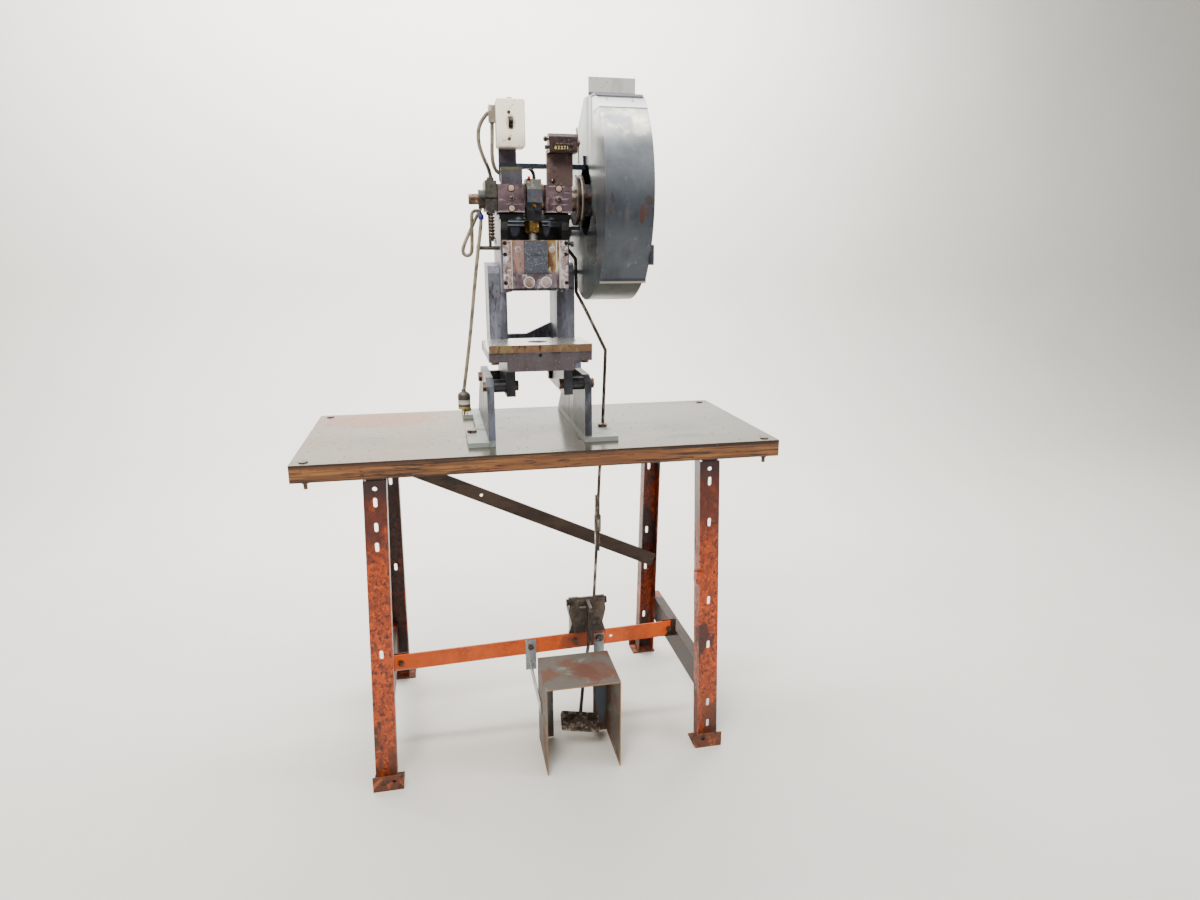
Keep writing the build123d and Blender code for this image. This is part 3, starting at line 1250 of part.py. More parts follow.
toggle_tilt = 20.0
toggle_tip = (toggle_y - 24 * cos(radians(toggle_tilt)), toggle_z + 24 * sin(radians(toggle_tilt)))
with BuildPart() as switch_toggle:
    disc_x((box_mid_x - toggle_hub, box_mid_x + toggle_hub), toggle_y, toggle_z, 5)
    with BuildSketch(at_x(box_mid_x - 4)) as lever:
        with Locations(((toggle_y + toggle_tip[0]) / 2, (toggle_z + toggle_tip[1]) / 2)):
            Rectangle(24, 6, rotation=-toggle_tilt)
    extrude(lever.sketch, amount=8)
switch_toggle.part.label = "switch_toggle"
export_step(switch_toggle.part, "parts/switch_toggle.step")

# Counter tower on the right bearing cap
tower_y = (bar_front - tower_thick, bar_front)
with BuildPart() as counter_tower:
    block((tower_left, tower_right), tower_y, (cap_z[1], tower_top))
    disc_y((tower_y[0], tower_y[0] + 2), tower_left + 13, cap_z[1] + 9, 6, mode=Mode.SUBTRACT)
counter_tower.part.label = "counter_tower"
export_step(counter_tower.part, "parts/counter_tower.step")

# Counter: body with a sloping front, figure wheels, shaft ends and mounting back
with BuildPart() as counter_body:
    side_profile([(counter_front, counter_low + 4), (counter_front + 3, counter_high - 8),
                  (counter_front + 14, counter_high), (tower_y[0] - 4, counter_high),
                  (tower_y[0], counter_high - 4), (tower_y[0], counter_low), (counter_front + 3, counter_low)],
                 (counter_left, counter_right))
    block((counter_left + 10, counter_right - 12), (counter_front - 1, counter_front + 2),
          (counter_low + 10, counter_low + 22), mode=Mode.SUBTRACT)
    for number in range(5):
        x = counter_left + 16 + number * 8.6
        disc_x((x, x + 7), counter_front + 9, counter_low + 16, 8.5)
    disc_x((counter_right, counter_right + 9), counter_shaft_y, counter_shaft_z, counter_shaft_r)
    disc_x((counter_left - 3, counter_left), counter_shaft_y - 6, counter_low + 12, 4)
    disc_x((counter_left - 9, counter_left - 3), counter_shaft_y - 6, counter_low + 12, 5)
    disc_x((counter_left - 12, counter_left), counter_shaft_y, counter_shaft_z + 8, 2.5)
counter_body.part.label = "counter_body"
export_step(counter_body.part, "parts/counter_body.step")

# Counter arm on the shaft end, with its pull wire
arm_x = (counter_right + 2, counter_right + 7)
with BuildPart() as counter_arm:
    disc_x(arm_x, counter_shaft_y, counter_shaft_z, 8)
    side_profile([(counter_shaft_y - 5, counter_shaft_z), (counter_shaft_y + 5, counter_shaft_z - 4),
                  (counter_shaft_y + 24, counter_shaft_z + 34), (counter_shaft_y + 17, counter_shaft_z + 38)],
                 (arm_x[0] + 1, arm_x[1] - 1))
    disc_z((counter_shaft_z - 46, counter_shaft_z - 4), (arm_x[0] + arm_x[1]) / 2, counter_shaft_y - 5, 1.2)
    disc_x(arm_x, counter_shaft_y, counter_shaft_z, counter_shaft_r + fit_run, mode=Mode.SUBTRACT)
counter_arm.part.label = "counter_arm"
export_step(counter_arm.part, "parts/counter_arm.step")

# Counter reset knob on its own spindle
knob_x = (counter_left - 10, counter_left - 3)
with BuildPart() as counter_knob:
    disc_x(knob_x, counter_shaft_y, counter_shaft_z + 8, 6)
    block(knob_x, (counter_shaft_y - 9, counter_shaft_y + 9), (counter_shaft_z + 6, counter_shaft_z + 10))
    disc_x(knob_x, counter_shaft_y, counter_shaft_z + 8, 2.5 + fit_run, mode=Mode.SUBTRACT)
counter_knob.part.label = "counter_knob"
export_step(counter_knob.part, "parts/counter_knob.step")


def cord_radii(points):
    """The bend radius at each inner point, from its shorter run and its turn."""
    radii = []
    for before, here, after in zip(points, points[1:], points[2:]):
        run_in = here - before
        run_out = after - here
        turn = radians(run_in.get_angle(run_out))
        radii.append(0.45 * min(run_in.length, run_out.length) / tan(turn / 2))
    return radii


# Power cord: from the box, behind the brake, folded back twice and down to the plug
power_points = [spot(*point) for point in (
    (-111, 141, 1682), (-125, 142, 1668), (-136, 144, 1644), (-136, 148, 1614), (-125, 158, 1583),
    (-110, 182, 1558), (-104, 208, 1534), (-112, 217, 1504), (-132, 213, 1472), (-155, 207, 1428),
    (-172, 202, 1394), (-180, 199, 1376), (-182, 197, 1362), (-175.6, 195, 1355.6), (-166.6, 193, 1355.6),
    (-160.2, 191, 1362), (-158.5, 189, 1380), (-158, 186, 1412), (-157.5, 182, 1440), (-157, 180, 1456),
    (-150.6, 178, 1462.4), (-141.6, 176, 1462.4), (-135.2, 174, 1456), (-135, 172, 1439),
    (-139, 169, 1408), (-148, 167, 1352), (-158, 167.5, 1280), (-168, 168, 1200), (-181, 168, 1108),
    (-196, 168, 1016))]
motor_points = [spot(*point) for point in (
    (-103, 141, 1660), (-103.5, 143, 1628), (-105, 150, 1594), (-102, 162, 1568), (-92, 174, 1552),
    (-74, 181, 1547), (-52, 183, 1553), (-30, 186, 1567), (-8, 197, 1567), (6, 224, 1552),
    (8, 270, 1534), (8, 316, 1514), (9, 350, 1494), (9, 379, 1487))]
for name, points in (("power_cord", power_points), ("motor_cable", motor_points)):
    radii = cord_radii(points)
    length = sum((after - before).length for before, after in zip(points, points[1:]))
    print(name, "length", round(length), "radii", [round(r) for r in radii])

with BuildPart() as power_cord:
    with BuildLine() as run:
        FilletPolyline(*power_points, radius=cord_radii(power_points))
    with BuildSketch(Plane(origin=run.line @ 0, z_dir=run.line % 0)) as section:
        Circle(cord_r)
    sweep(section.sketch, path=run.line)
power_cord.part.label = "power_cord"
export_step(power_cord.part, "parts/power_cord.step")

with BuildPart() as motor_cable:
    with BuildLine() as run:
        FilletPolyline(*motor_points, radius=cord_radii(motor_points))
    with BuildSketch(Plane(origin=run.line @ 0, z_dir=run.line % 0)) as section:
        Circle(cord_r)
    sweep(section.sketch, path=run.line)
motor_cable.part.label = "motor_cable"
export_step(motor_cable.part, "parts/motor_cable.step")

# Plug: moulded body with two blades and an earth pin
plug_x = -196
plug_y = 168
plug_top = 1016
with BuildPart() as plug:
    with BuildSketch(at_z(plug_top)) as neck:
        with Locations((plug_x, plug_y)):
            Circle(plug_r - 7)
    with BuildSketch(at_z(plug_top - plug_shoulder)) as waist:
        with Locations((plug_x, plug_y)):
            Circle(plug_r)
    loft([neck.sketch.face(), waist.sketch.face()])
    disc_z((plug_top - plug_length, plug_top - plug_shoulder), plug_x, plug_y, plug_r)
    for side in (-1, 1):
        block((plug_x + side * 6.35 - 0.8, plug_x + side * 6.35 + 0.8), (plug_y - 7, plug_y - 0.7),
              (plug_top - plug_length - 16, plug_top - plug_length))
    disc_z((plug_top - plug_length - 18, plug_top - plug_length), plug_x, plug_y + 7, 2.4)
plug.part.label = "plug"
export_step(plug.part, "parts/plug.step")
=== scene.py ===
# %% [markdown]
# # A bench punch press, dressed for its portrait
#
# The machine is a small flywheel press bolted on a steel-topped work bench and tripped by a foot
# treadle. Its solids come from the CAD model and stay exactly where they are. This lesson gives each
# one its surface, and adds the pieces that grow better than they machine: cords, a coil spring,
# screws, rings, weld beads and fins. Everything is in metres and in the CAD model's own frame.

# %% Load the frame
import math

import bpy
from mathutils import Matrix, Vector


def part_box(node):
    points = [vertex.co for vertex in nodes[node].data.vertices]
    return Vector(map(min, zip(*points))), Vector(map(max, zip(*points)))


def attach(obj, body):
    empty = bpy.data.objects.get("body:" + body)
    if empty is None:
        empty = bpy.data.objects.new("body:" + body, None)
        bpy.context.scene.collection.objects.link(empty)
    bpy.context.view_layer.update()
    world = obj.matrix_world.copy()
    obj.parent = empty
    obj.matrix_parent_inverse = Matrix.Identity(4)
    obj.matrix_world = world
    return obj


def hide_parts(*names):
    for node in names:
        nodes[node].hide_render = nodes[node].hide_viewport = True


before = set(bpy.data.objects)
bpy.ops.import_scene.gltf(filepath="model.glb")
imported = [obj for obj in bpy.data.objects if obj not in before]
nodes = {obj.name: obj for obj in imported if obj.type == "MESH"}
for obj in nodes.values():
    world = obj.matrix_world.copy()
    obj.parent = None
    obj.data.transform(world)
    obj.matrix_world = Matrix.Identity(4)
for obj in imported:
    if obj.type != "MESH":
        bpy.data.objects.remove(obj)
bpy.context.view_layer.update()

# %% [markdown]
# ## Places and colours
#
# A tape measure on the real bench would start at its middle, its front edge and the floor, in
# millimetres, so places are written that way. Colours are the hex values that a screen shows. The
# shaders want linear light, and one function makes the change for all of them.

# %% Places and colours
BENCH_FRONT = -0.25095


def spot(x, y, z):
    """A point in metres, from millimetres measured on the bench."""
    return Vector((x / 1000, y / 1000 + BENCH_FRONT, z / 1000))


def linear(hex_colour):
    """A #rrggbb colour as linear red, green, blue and alpha."""
    channels = [int(hex_colour[i:i + 2], 16) / 255 for i in (1, 3, 5)]
    return [c / 12.92 if c <= 0.04045 else ((c + 0.055) / 1.055) ** 2.4 for c in channels] + [1.0]


print("front edge:", spot(0, 0, 886), "enamel orange:", linear("#b84200"))


# %% [markdown]
# ## One way to add a node
#
# Shader trees and geometry trees are built alike: a node has properties, and sockets that take either
# a value or a link. One small function does both, so that a recipe reads as a list.

# %% Add a node
def add(tree, kind, inputs=None, **settings):
    """Adds a node; settings are its properties, inputs its values or the sockets to link."""
    node = tree.nodes.new(kind)
    for name, value in settings.items():
        setattr(node, name, value)
    for name, value in (inputs or {}).items():
        if isinstance(value, bpy.types.NodeSocket):
            tree.links.new(value, node.inputs[name])
        else:
            node.inputs[name].default_value = value
    return node


# %% [markdown]
# ## A finish in coats
#
# Old machinery is never one colour. There is metal or primer, then paint, then oil, then dust and
# rust, and each coat lies only in its own places. A finish is built in the same order: every coat has
# a colour, a gloss and one or more masks, and the masks are multiplied. A mask is a blotchy pattern of
# a size in millimetres, scattered specks, a band along an axis, or a patch around one place. Most
# coats cover about 80 percent of what is under them, so that is what a coat does unless told.

# %% The finish
COVER = 0.8


class Finish:
    """A material that is built up coat by coat."""

    def __init__(self, name, colour, rough, metal=0.0):
        self.material = bpy.data.materials.new(name)
        self.material.use_nodes = True
        self.tree = self.material.node_tree
        self.shader = self.tree.nodes["Principled BSDF"]
        self.shader.inputs["Metallic"].default_value = metal
        self.place = add(self.tree, "ShaderNodeTexCoord").outputs["Object"]
        self.colour = linear(colour)
        self.rough = rough
        self.height = None

    def blotches(self, size_mm, low, high, stretch=(1, 1, 1), seed=0, detail=5, distort=0.0):
        """Cloudy pattern; a stretch above 1 makes it longer along that axis."""
        scaled = add(self.tree, "ShaderNodeVectorMath", {0: self.place, 1: [1 / s for s in stretch]},
                     operation="MULTIPLY")
        cloud = add(self.tree, "ShaderNodeTexNoise",
                    {"Vector": scaled.outputs[0], "W": seed, "Scale": 500 / size_mm, "Detail": detail,
                     "Roughness": 0.62, "Distortion": distort}, noise_dimensions="4D")
        return add(self.tree, "ShaderNodeMapRange", {0: cloud.outputs[0], 1: low, 2: high},
                   interpolation_type="SMOOTHSTEP").outputs[0]

    def specks(self, apart_mm, radius, seed=0):
        """Small dots on a level face, about apart_mm from each other; radius is a share of that."""
        moved = add(self.tree, "ShaderNodeVectorMath", {0: self.place, 1: (seed, seed, 0)}, operation="ADD")
        dots = add(self.tree, "ShaderNodeTexVoronoi",
                   {"Vector": moved.outputs[0], "Scale": 1000 / apart_mm}, voronoi_dimensions="2D")
        return add(self.tree, "ShaderNodeMapRange", {0: dots.outputs[0], 1: radius, 2: radius * 0.6},
                   interpolation_type="SMOOTHSTEP").outputs[0]

    def band(self, axis, start, end):
        """0 at start and 1 at end, both in millimetres along an axis."""
        apart = add(self.tree, "ShaderNodeSeparateXYZ", {0: self.place})
        shift = BENCH_FRONT if axis == "Y" else 0.0
        return add(self.tree, "ShaderNodeMapRange",
                   {0: apart.outputs[axis], 1: start / 1000 + shift, 2: end / 1000 + shift},
                   interpolation_type="SMOOTHSTEP").outputs[0]

    def patch(self, centre, size_mm, ragged=0.5):
        """1 around a place and 0 further than size_mm from it, with a torn edge."""
        tree = self.tree
        about = add(tree, "ShaderNodeVectorMath", {0: self.place, 1: spot(*centre)}, operation="SUBTRACT")
        shrunk = add(tree, "ShaderNodeVectorMath", {0: about.outputs[0], 1: [1000 / s for s in size_mm]},
                     operation="MULTIPLY")
        away = add(tree, "ShaderNodeVectorMath", {0: shrunk.outputs[0]}, operation="LENGTH")
        cloud = add(tree, "ShaderNodeTexNoise",
                    {"Vector": self.place, "W": sum(centre), "Scale": 700 / min(size_mm), "Detail": 6},
                    noise_dimensions="4D")
        torn = add(tree, "ShaderNodeMath", {0: cloud.outputs[0], 1: 2 * ragged, 2: away.outputs["Value"]},
                   operation="MULTIPLY_ADD")
        return add(tree, "ShaderNodeMapRange", {0: torn.outputs[0], 1: 1.0 + ragged, 2: 0.6 + ragged},
                   interpolation_type="SMOOTHSTEP").outputs[0]

    def coat(self, colour, *masks, rough=None, cover=COVER):
        """Lays a colour, and a gloss if it has its own, where all the masks are.

        A mask written as (axis, start, end) is a band.
        """
        masks = [self.band(*mask) if isinstance(mask, tuple) else mask for mask in masks]
        if cover < 1:
            masks.append(cover)
        mask = masks[0]
        for other in masks[1:]:
            mask = add(self.tree, "ShaderNodeMath", {0: mask, 1: other}, operation="MULTIPLY").outputs[0]
        laid = add(self.tree, "ShaderNodeMix", {0: mask, 6: self.colour, 7: linear(colour)}, data_type="RGBA")
        self.colour = laid.outputs[2]
        if rough is not None:
            self.rough = add(self.tree, "ShaderNodeMix", {0: mask, 2: self.rough, 3: rough}).outputs[0]
        return self

    def stain(self, colour, *cloud, rough=None, cover=COVER, **more):
        """A coat that lies in one pattern of blotches, and takes their settings."""
        return self.coat(colour, self.blotches(*cloud, **more), rough=rough, cover=cover)

    def bump(self, size_mm, depth_mm, stretch=(1, 1, 1), seed=0, detail=3):
        """Adds relief with features of a size and a depth in millimetres."""
        relief = self.blotches(size_mm, 0.25, 0.75, stretch, seed, detail)
        below = 0.0 if self.height is None else self.height
        self.height = add(self.tree, "ShaderNodeMath", {0: relief, 1: depth_mm / 1000, 2: below},
                          operation="MULTIPLY_ADD").outputs[0]
        return self

    def done(self):
        """Links what the coats have built to the shader."""
        for socket, value in (("Base Color", self.colour), ("Roughness", self.rough)):
            if isinstance(value, bpy.types.NodeSocket):
                self.tree.links.new(value, self.shader.inputs[socket])
            else:
                self.shader.inputs[socket].default_value = value
        if self.height is not None:
            bump = add(self.tree, "ShaderNodeBump", {"Height": self.height, "Distance": 1.0})
            self.tree.links.new(bump.outputs[0], self.shader.inputs["Normal"])
        return self.material


def dress(finish, *names):
    """Gives CAD nodes a material, or a finish that is ready to be one."""
    material = finish.done() if isinstance(finish, Finish) else finish
    for name in names:
        nodes[name].data.materials.clear()
        nodes[name].data.materials.append(material)
    print(material.name, "on", ", ".join(names))


# %% [markdown]
# ## Sand-cast grey iron, painted and oiled
#
# The frame, legs, caps and rod are grey iron, cast in sand and brushed with a thin purple-grey paint.
# Sand leaves a grain of about 2 mm, which the bump gives. Years of oil have darkened the paint in
# blotches of a hand's width, hands have polished it lighter, and drips run down the columns. Oil film
# makes it glossier than iron paint, and a little metallic. One recipe with its own colours serves
# every casting, because the same oil lies on all of them.

# %% Oiled cast iron
def cast_iron(name, paint, oil, worn, rust="#54301f", run=3.0, rusty=0.4, metal=0.25):
    f = Finish(name, paint, 0.44, metal)
    f.stain(worn, 46, 0.44, 0.6, (1, 1, run), 1, rough=0.36, cover=0.75)
    f.stain(oil, 34, 0.5, 0.64, (1, 1, run), 4, distort=0.7, rough=0.27, cover=0.9)
    f.stain(worn, 7, 0.56, 0.66, (1, 1, run * 2), 12, cover=0.7)
    f.stain(oil, 5, 0.56, 0.66, (1, 1, run), 15, cover=0.75)
    f.stain(rust, 20, 0.57, 0.66, seed=9, distort=1.0, rough=0.6, cover=rusty)
    return f.bump(2.2, 0.3, seed=2).bump(14, 0.5, seed=3)


# %% [markdown]
# The frame is painted near black inside the head around the rod, as painted shade, and it is nearly
# black under the bed. Bare grey shows on each side of the rod, the bed's apron is purple brown, and the
# head's ledge is olive.

# %% Frame and legs
f = cast_iron("cast_iron_frame", "#474752", "#1b1a20", "#858794")
# painted shade: near black inside the head, around the rod
f.coat("#070606", ("Z", 1388, 1396), ("Z", 1464, 1454), ("Y", 300, 290), rough=0.3, cover=1)
for x, width, cover in ((-50, 15, 0.85), (30, 11, 0.75)):
    f.coat("#8e98aa", f.patch((x, 250, 1424), (width, 300, 26), 0.25), rough=0.4, cover=cover)
f.coat("#2c2830", ("Z", 1516, 1520), rough=0.5)
f.coat("#3f3d2b", ("Z", 1548, 1552), cover=0.9)
apron = ("Z", 1130, 1120), ("Y", 58, 52)
f.coat("#4a4041", *apron, f.blotches(30, 0.2, 0.4, seed=21), cover=0.9)
f.coat("#8d8480", *apron, f.blotches(2.4, 0.58, 0.66, seed=24), cover=0.5)
f.coat("#121114", ("Z", 1104, 1096), ("Y", 74, 84), rough=0.3, cover=0.85)
f.coat("#55523a", f.patch((-62, 130, 1562), (34, 60, 12), 0.3), rough=0.5, cover=0.7)
dress(f, "press_frame")

# The right leg's colours are darker than the left's as painted shade, since that leg stands in shade.
leg_paints_and_shade = {"left": ("#393a3f", "#1f1e23", "#595b62"), "right": ("#222326", "#141416", "#3a3b40")}
for side, paint_and_shade in leg_paints_and_shade.items():
    f = cast_iron("cast_iron_press_leg_" + side, *paint_and_shade, run=4.0, metal=0.05)
    # painted highlights: pale blue grey streaks down the front faces of the legs, on greasy iron
    f.coat("#6a7183", ("Y", 86, 83.6), f.blotches(14, 0.4, 0.6, (1, 1, 3), 33), rough=0.3, cover=0.6)
    f.coat("#8f958c", ("Z", 904, 898), f.blotches(24, 0.3, 0.5, seed=31), rough=0.5, cover=0.85)
    f.coat("#1e1b1c", f.patch((106, 90, 1036), (30, 60, 34), 0.4))
    dress(f, "press_leg_" + side)

# %% [markdown]
# The bearing caps are filed by hand across their faces, which leaves slanting scratches in a purple
# brown, and a painted highlight lies along their lower edges. The rod's top is green with old oil.

# %% Caps, rod, wheel and brake
f = cast_iron("cast_iron_caps", "#46363b", "#1f171a", "#6f5a60", "#4a2b20", 1.0, 0.6)
f.stain("#a4949b", 2.4, 0.6, 0.66, (9, 1, 1), 22, 2, cover=0.5)
# painted highlight: pale band along the caps' lower edges
f.coat("#cdb9b4", ("Z", 1460, 1457.5), cover=0.35)
dress(f, "bearing_cap_left", "bearing_cap_right")
dress(cast_iron("cast_iron_post", "#4b3f4a", "#241d24", "#6c5e69"), "switch_post")
dress(cast_iron("cast_iron_tower", "#574340", "#2e2221", "#80695f", "#634128", 1.0, 0.8), "counter_tower")

f = cast_iron("cast_iron_rod", "#3d4049", "#1c1d21", "#646975", run=1.0)
f.coat("#2b291e", ("Z", 1506, 1512), rough=0.45, cover=0.95)
f.coat("#5f5c46", ("Z", 1506, 1512), f.blotches(5, 0.52, 0.64, seed=7), rough=0.35, cover=0.7)
# painted shade: the rod is near black low down, where it hangs in the dark hollow of the head
f.coat("#0b0a0b", ("Z", 1468, 1458), cover=0.95)
dress(f, "connecting_rod", "rod_cap")
dress(cast_iron("cast_iron_wheel", "#38363a", "#1a191c", "#5d5e64"), "flywheel", "motor_pulley")

f = cast_iron("cast_iron_brake", "#2a2622", "#0b0a09", "#4f4a42", "#4a2a1c", 1.0, 0.6)
# painted highlights: pale glossy specks on the greasy brake shoes and drum
f.stain("#7d7666", 3, 0.62, 0.7, seed=19, rough=0.22, cover=0.6)
dress(f, "brake_shoes", "brake_drum")
dress(cast_iron("cast_iron_treadle", "#3b322c", "#1b1613", "#635648", "#6b3f27", 1.0, 0.7),
      "treadle_bracket", "treadle_lever", "clutch_latch")
dress(cast_iron("cast_iron_mount", "#3f3c3b", "#201e1d", "#5f5b57"), "motor_mount")


# %% [markdown]
# ## Ground and turned steel
#
# The ram, its gib plates, the bolster and the crankshaft are bare steel. Grinding leaves fine parallel
# lines along the travel, far finer than a pixel, so they are drawn about a millimetre wide. Oil has
# aged on it to bronze and purple, and rust pits it. Metallic is 0.85 on clean steel and down to 0.55
# under old oil, and the stains are less glossy than the steel.

# %% Bare steel
def bare_steel(name, steel, stain, bright, pits="#3d2417", spread=0.46, metal=0.85):
    f = Finish(name, steel, 0.27, metal)
    f.stain(stain, 24, spread, spread + 0.14, (1, 1, 2.5), 3, distort=0.8, rough=0.4, cover=0.9)
    # painted highlights: the pale, glossy spots in the bright colour
    f.stain(bright, 8, 0.52, 0.64, (1, 1, 2), 6, rough=0.16, cover=0.85)
    f.stain(pits, 5, 0.59, 0.66, seed=11, distort=1.2, rough=0.6, cover=0.85)
    return f.bump(1.2, 0.04, (1, 1, 12), 8)


# %% [markdown]
# The inner edges of the gibs are near white, about 2 mm wide. The ram is golden on its right,
# pink on its left, and pale purple low down, where the punch holder is wiped.

# %% Ram, gibs and shafts
f = bare_steel("ground_steel_gibs", "#b7a29e", "#76503f", "#fffafa", "#3a2116", 0.45, 0.55)
f.stain("#b3925f", 9, 0.53, 0.62, (1, 1, 2), 23, distort=1.0, rough=0.4, cover=0.65)
f.stain("#5a3a36", 4, 0.54, 0.62, seed=27, distort=1.0, rough=0.5, cover=0.75)
# painted highlights: small white glints on the gibs
f.stain("#fff6f8", 4.4, 0.53, 0.6, seed=29, rough=0.2, cover=0.9)
for inner, outer in (((-69.4, -68.6), (-60, -61)), ((51.4, 50.6), (40, 41))):
    f.coat("#fbf6f0", ("X", *inner), ("X", *outer), rough=0.15, cover=0.7)
dress(f, "gib_plate_left", "gib_plate_right")

f = bare_steel("ground_steel_ram", "#a88a5c", "#6f4829", "#fff0cc", metal=0.55)
f.coat("#b08d8a", ("X", -30, -40), f.blotches(12, 0.34, 0.5, (1, 1, 3), 14), cover=0.85)
f.stain("#4d3026", 4, 0.56, 0.64, (1, 1, 2), 25, distort=1.0, rough=0.5, cover=0.75)
f.coat("#fffaf0", ("X", 41.2, 41.8), ("X", 44.4, 43.8), rough=0.15)
f.coat("#685860", ("Z", 1322, 1308), cover=0.9)
f.coat("#b5a2a4", ("Z", 1326, 1304), f.blotches(9, 0.5, 0.62, seed=17), rough=0.2, cover=0.7)
dress(f, "ram_slide")
dress(bare_steel("ground_steel_clamp", "#84747c", "#54424a", "#d8ccd0", metal=0.55), "punch_clamp_bar")
dress(bare_steel("turned_steel_bolts", "#c9b8ae", "#8a6c5c", "#fff6ee", metal=0.6), "ram_bolts")
dress(bare_steel("turned_steel_crank", "#5c4335", "#33211a", "#9b8070", metal=0.6), "crankshaft")
dress(bare_steel("turned_steel_screw", "#c9c4bd", "#8f8170", "#ffffff", spread=0.6), "ball_screw")
dress(bare_steel("drawn_steel_rod", "#4b3f38", "#2a211c", "#a1948a", spread=0.5, metal=0.6),
      "trip_rod_lower", "trip_rod_upper", "treadle_pin")
dress(bare_steel("drawn_steel_bar", "#454c59", "#2c2a2d", "#6d7686", spread=0.5), "guard_support_bar")

# %% [markdown]
# The bolster's top is wiped clean and nearly white, but its front edge is caked: rust, then dried oil,
# then black drips that lean down.

# %% Bolster
f = bare_steel("milled_steel_bolster", "#c8c8c0", "#8f8a80", "#fafaf5", spread=0.6)
edge = ("Y", 48, 46)
f.coat("#755439", edge, f.blotches(26, 0.3, 0.42, (3, 1, 1), 2), rough=0.6, cover=0.95)
f.coat("#8a7a52", edge, f.blotches(9, 0.48, 0.6, (1, 1, 2), 5), rough=0.5)
f.coat("#2f1e16", edge, f.blotches(6, 0.56, 0.66, (1, 1, 3), 8), rough=0.5)
dress(f, "bolster_plate")

# %% [markdown]
# ## Turned steel with baked oil: the clutch collar
#
# The collar was turned in a lathe, so its lands catch light as rings. Old oil baked on it in red
# brown. Bands along the shaft's own axis paint the rings paler, as painted highlights.

# %% Clutch collar
f = Finish("turned_steel_clutch", "#2d211b", 0.28, 0.55)
# painted highlights: pale rings on the collar's lands
f.coat("#8f8578", ("X", 94.2, 93.4), rough=0.2, cover=0.7)
f.coat("#a39a8e", ("X", 103, 103.8), ("X", 107, 106), rough=0.2)
f.stain("#5c3322", 20, 0.48, 0.62, seed=2)
f.stain("#100c0a", 9, 0.54, 0.66, seed=5, rough=0.2, cover=0.85)
dress(f.bump(3, 0.15, seed=7), "clutch_collar")

# %% [markdown]
# ## Rough cast iron, blackened
#
# The block in front of the ram is left as it came from the sand, blackened and grainy. The tread
# pad's raised bars are worn by boots, so pale metal shows in blotches through a dark coat.

# %% Block and pad
f = Finish("rough_iron_block", "#42464f", 0.5, 0.2)
f.stain("#7b7f8a", 2.0, 0.52, 0.62, seed=3, detail=3, rough=0.42, cover=0.6)
f.stain("#23242a", 2.0, 0.5, 0.6, seed=8, detail=3, cover=0.6)
f.coat("#26262b", ("Z", 1326, 1312), cover=0.6)
dress(f.bump(2.4, 0.4, seed=8), "ram_front_block")

f = Finish("worn_iron_pad", "#4d433a", 0.5, 0.45)
f.stain("#9a8d80", 7, 0.48, 0.58, seed=3, rough=0.35, cover=0.85)
f.stain("#251c17", 12, 0.52, 0.64, seed=6, cover=0.85)
dress(f.bump(3, 0.3, seed=2), "treadle_pad")


# %% [markdown]
# ## Rolled steel fasteners
#
# Bolt heads are rolled and plated, and take the colour of what wipes them. The cap bolts and the lock
# nut have an old brassy stain, the socket screws are black oxide, and the bench bolts are dull zinc
# with rust. All are metals with small dark stains and small pale spots of painted highlight, a few
# millimetres across.

# %% Fasteners
def fastener(name, base, dark, bright, metal=0.8):
    f = Finish(name, base, 0.34, metal)
    f.stain(dark, 5, 0.46, 0.6, seed=2, rough=0.5, cover=0.85)
    # painted highlights: the small pale spots in the bright colour
    f.stain(bright, 3, 0.56, 0.66, seed=6, rough=0.2)
    return f.bump(2, 0.12, seed=5).done()


dress(fastener("stained_steel_cap_bolts", "#c7a892", "#7a5444", "#fff0e2", 0.6), "cap_bolts")
dress(fastener("greasy_brass_nut", "#7a5c28", "#1f150a", "#fff0b8", 0.7), "lock_nut")
black_oxide = fastener("black_oxide_screws", "#232126", "#0f0e10", "#4c4a52", 0.5)
dress(black_oxide, "head_screws")
rusty_zinc = fastener("rusty_zinc_bolts", "#6f5a4c", "#3b2a22", "#a39484")
dress(rusty_zinc, "bed_bolts", "bench_bolts", "counter_arm", "brake_spring")
dress(fastener("die_cast_counter", "#3a2a26", "#1a1110", "#6b5850", 0.5), "counter_body", "counter_knob")


# %% [markdown]
# ## Galvanised sheet
#
# The flywheel guard is zinc-coated sheet, about 2 mm thick, folded and seamed by hand. Zinc goes
# blue grey, with a pale bloom where it is dry and darker smears where oil has run. The sheet is never
# quite flat, so a very wide and shallow bump bends its reflections. Rust starts where a bolt or a
# scrape broke the zinc, and those spots are placed one by one.

# %% Galvanised sheet
def galvanised(name, zinc, bloom, oil):
    f = Finish(name, zinc, 0.3, 0.6)
    f.stain(bloom, 110, 0.44, 0.64, (1, 1, 2), 1, distort=0.5, rough=0.25, cover=0.55)
    f.stain(oil, 60, 0.48, 0.66, (1, 1, 4), 6, rough=0.4, cover=0.7)
    f.stain(bloom, 9, 0.58, 0.7, seed=9, cover=0.35)
    f.stain(oil, 3, 0.6, 0.68, (1, 1, 5), 13, cover=0.4)
    return f.bump(170, 2.4, seed=4, detail=2).bump(4, 0.05, seed=8)


# %% Guard cover
f = galvanised("galvanised_cover", "#484c54", "#767c83", "#32363d")
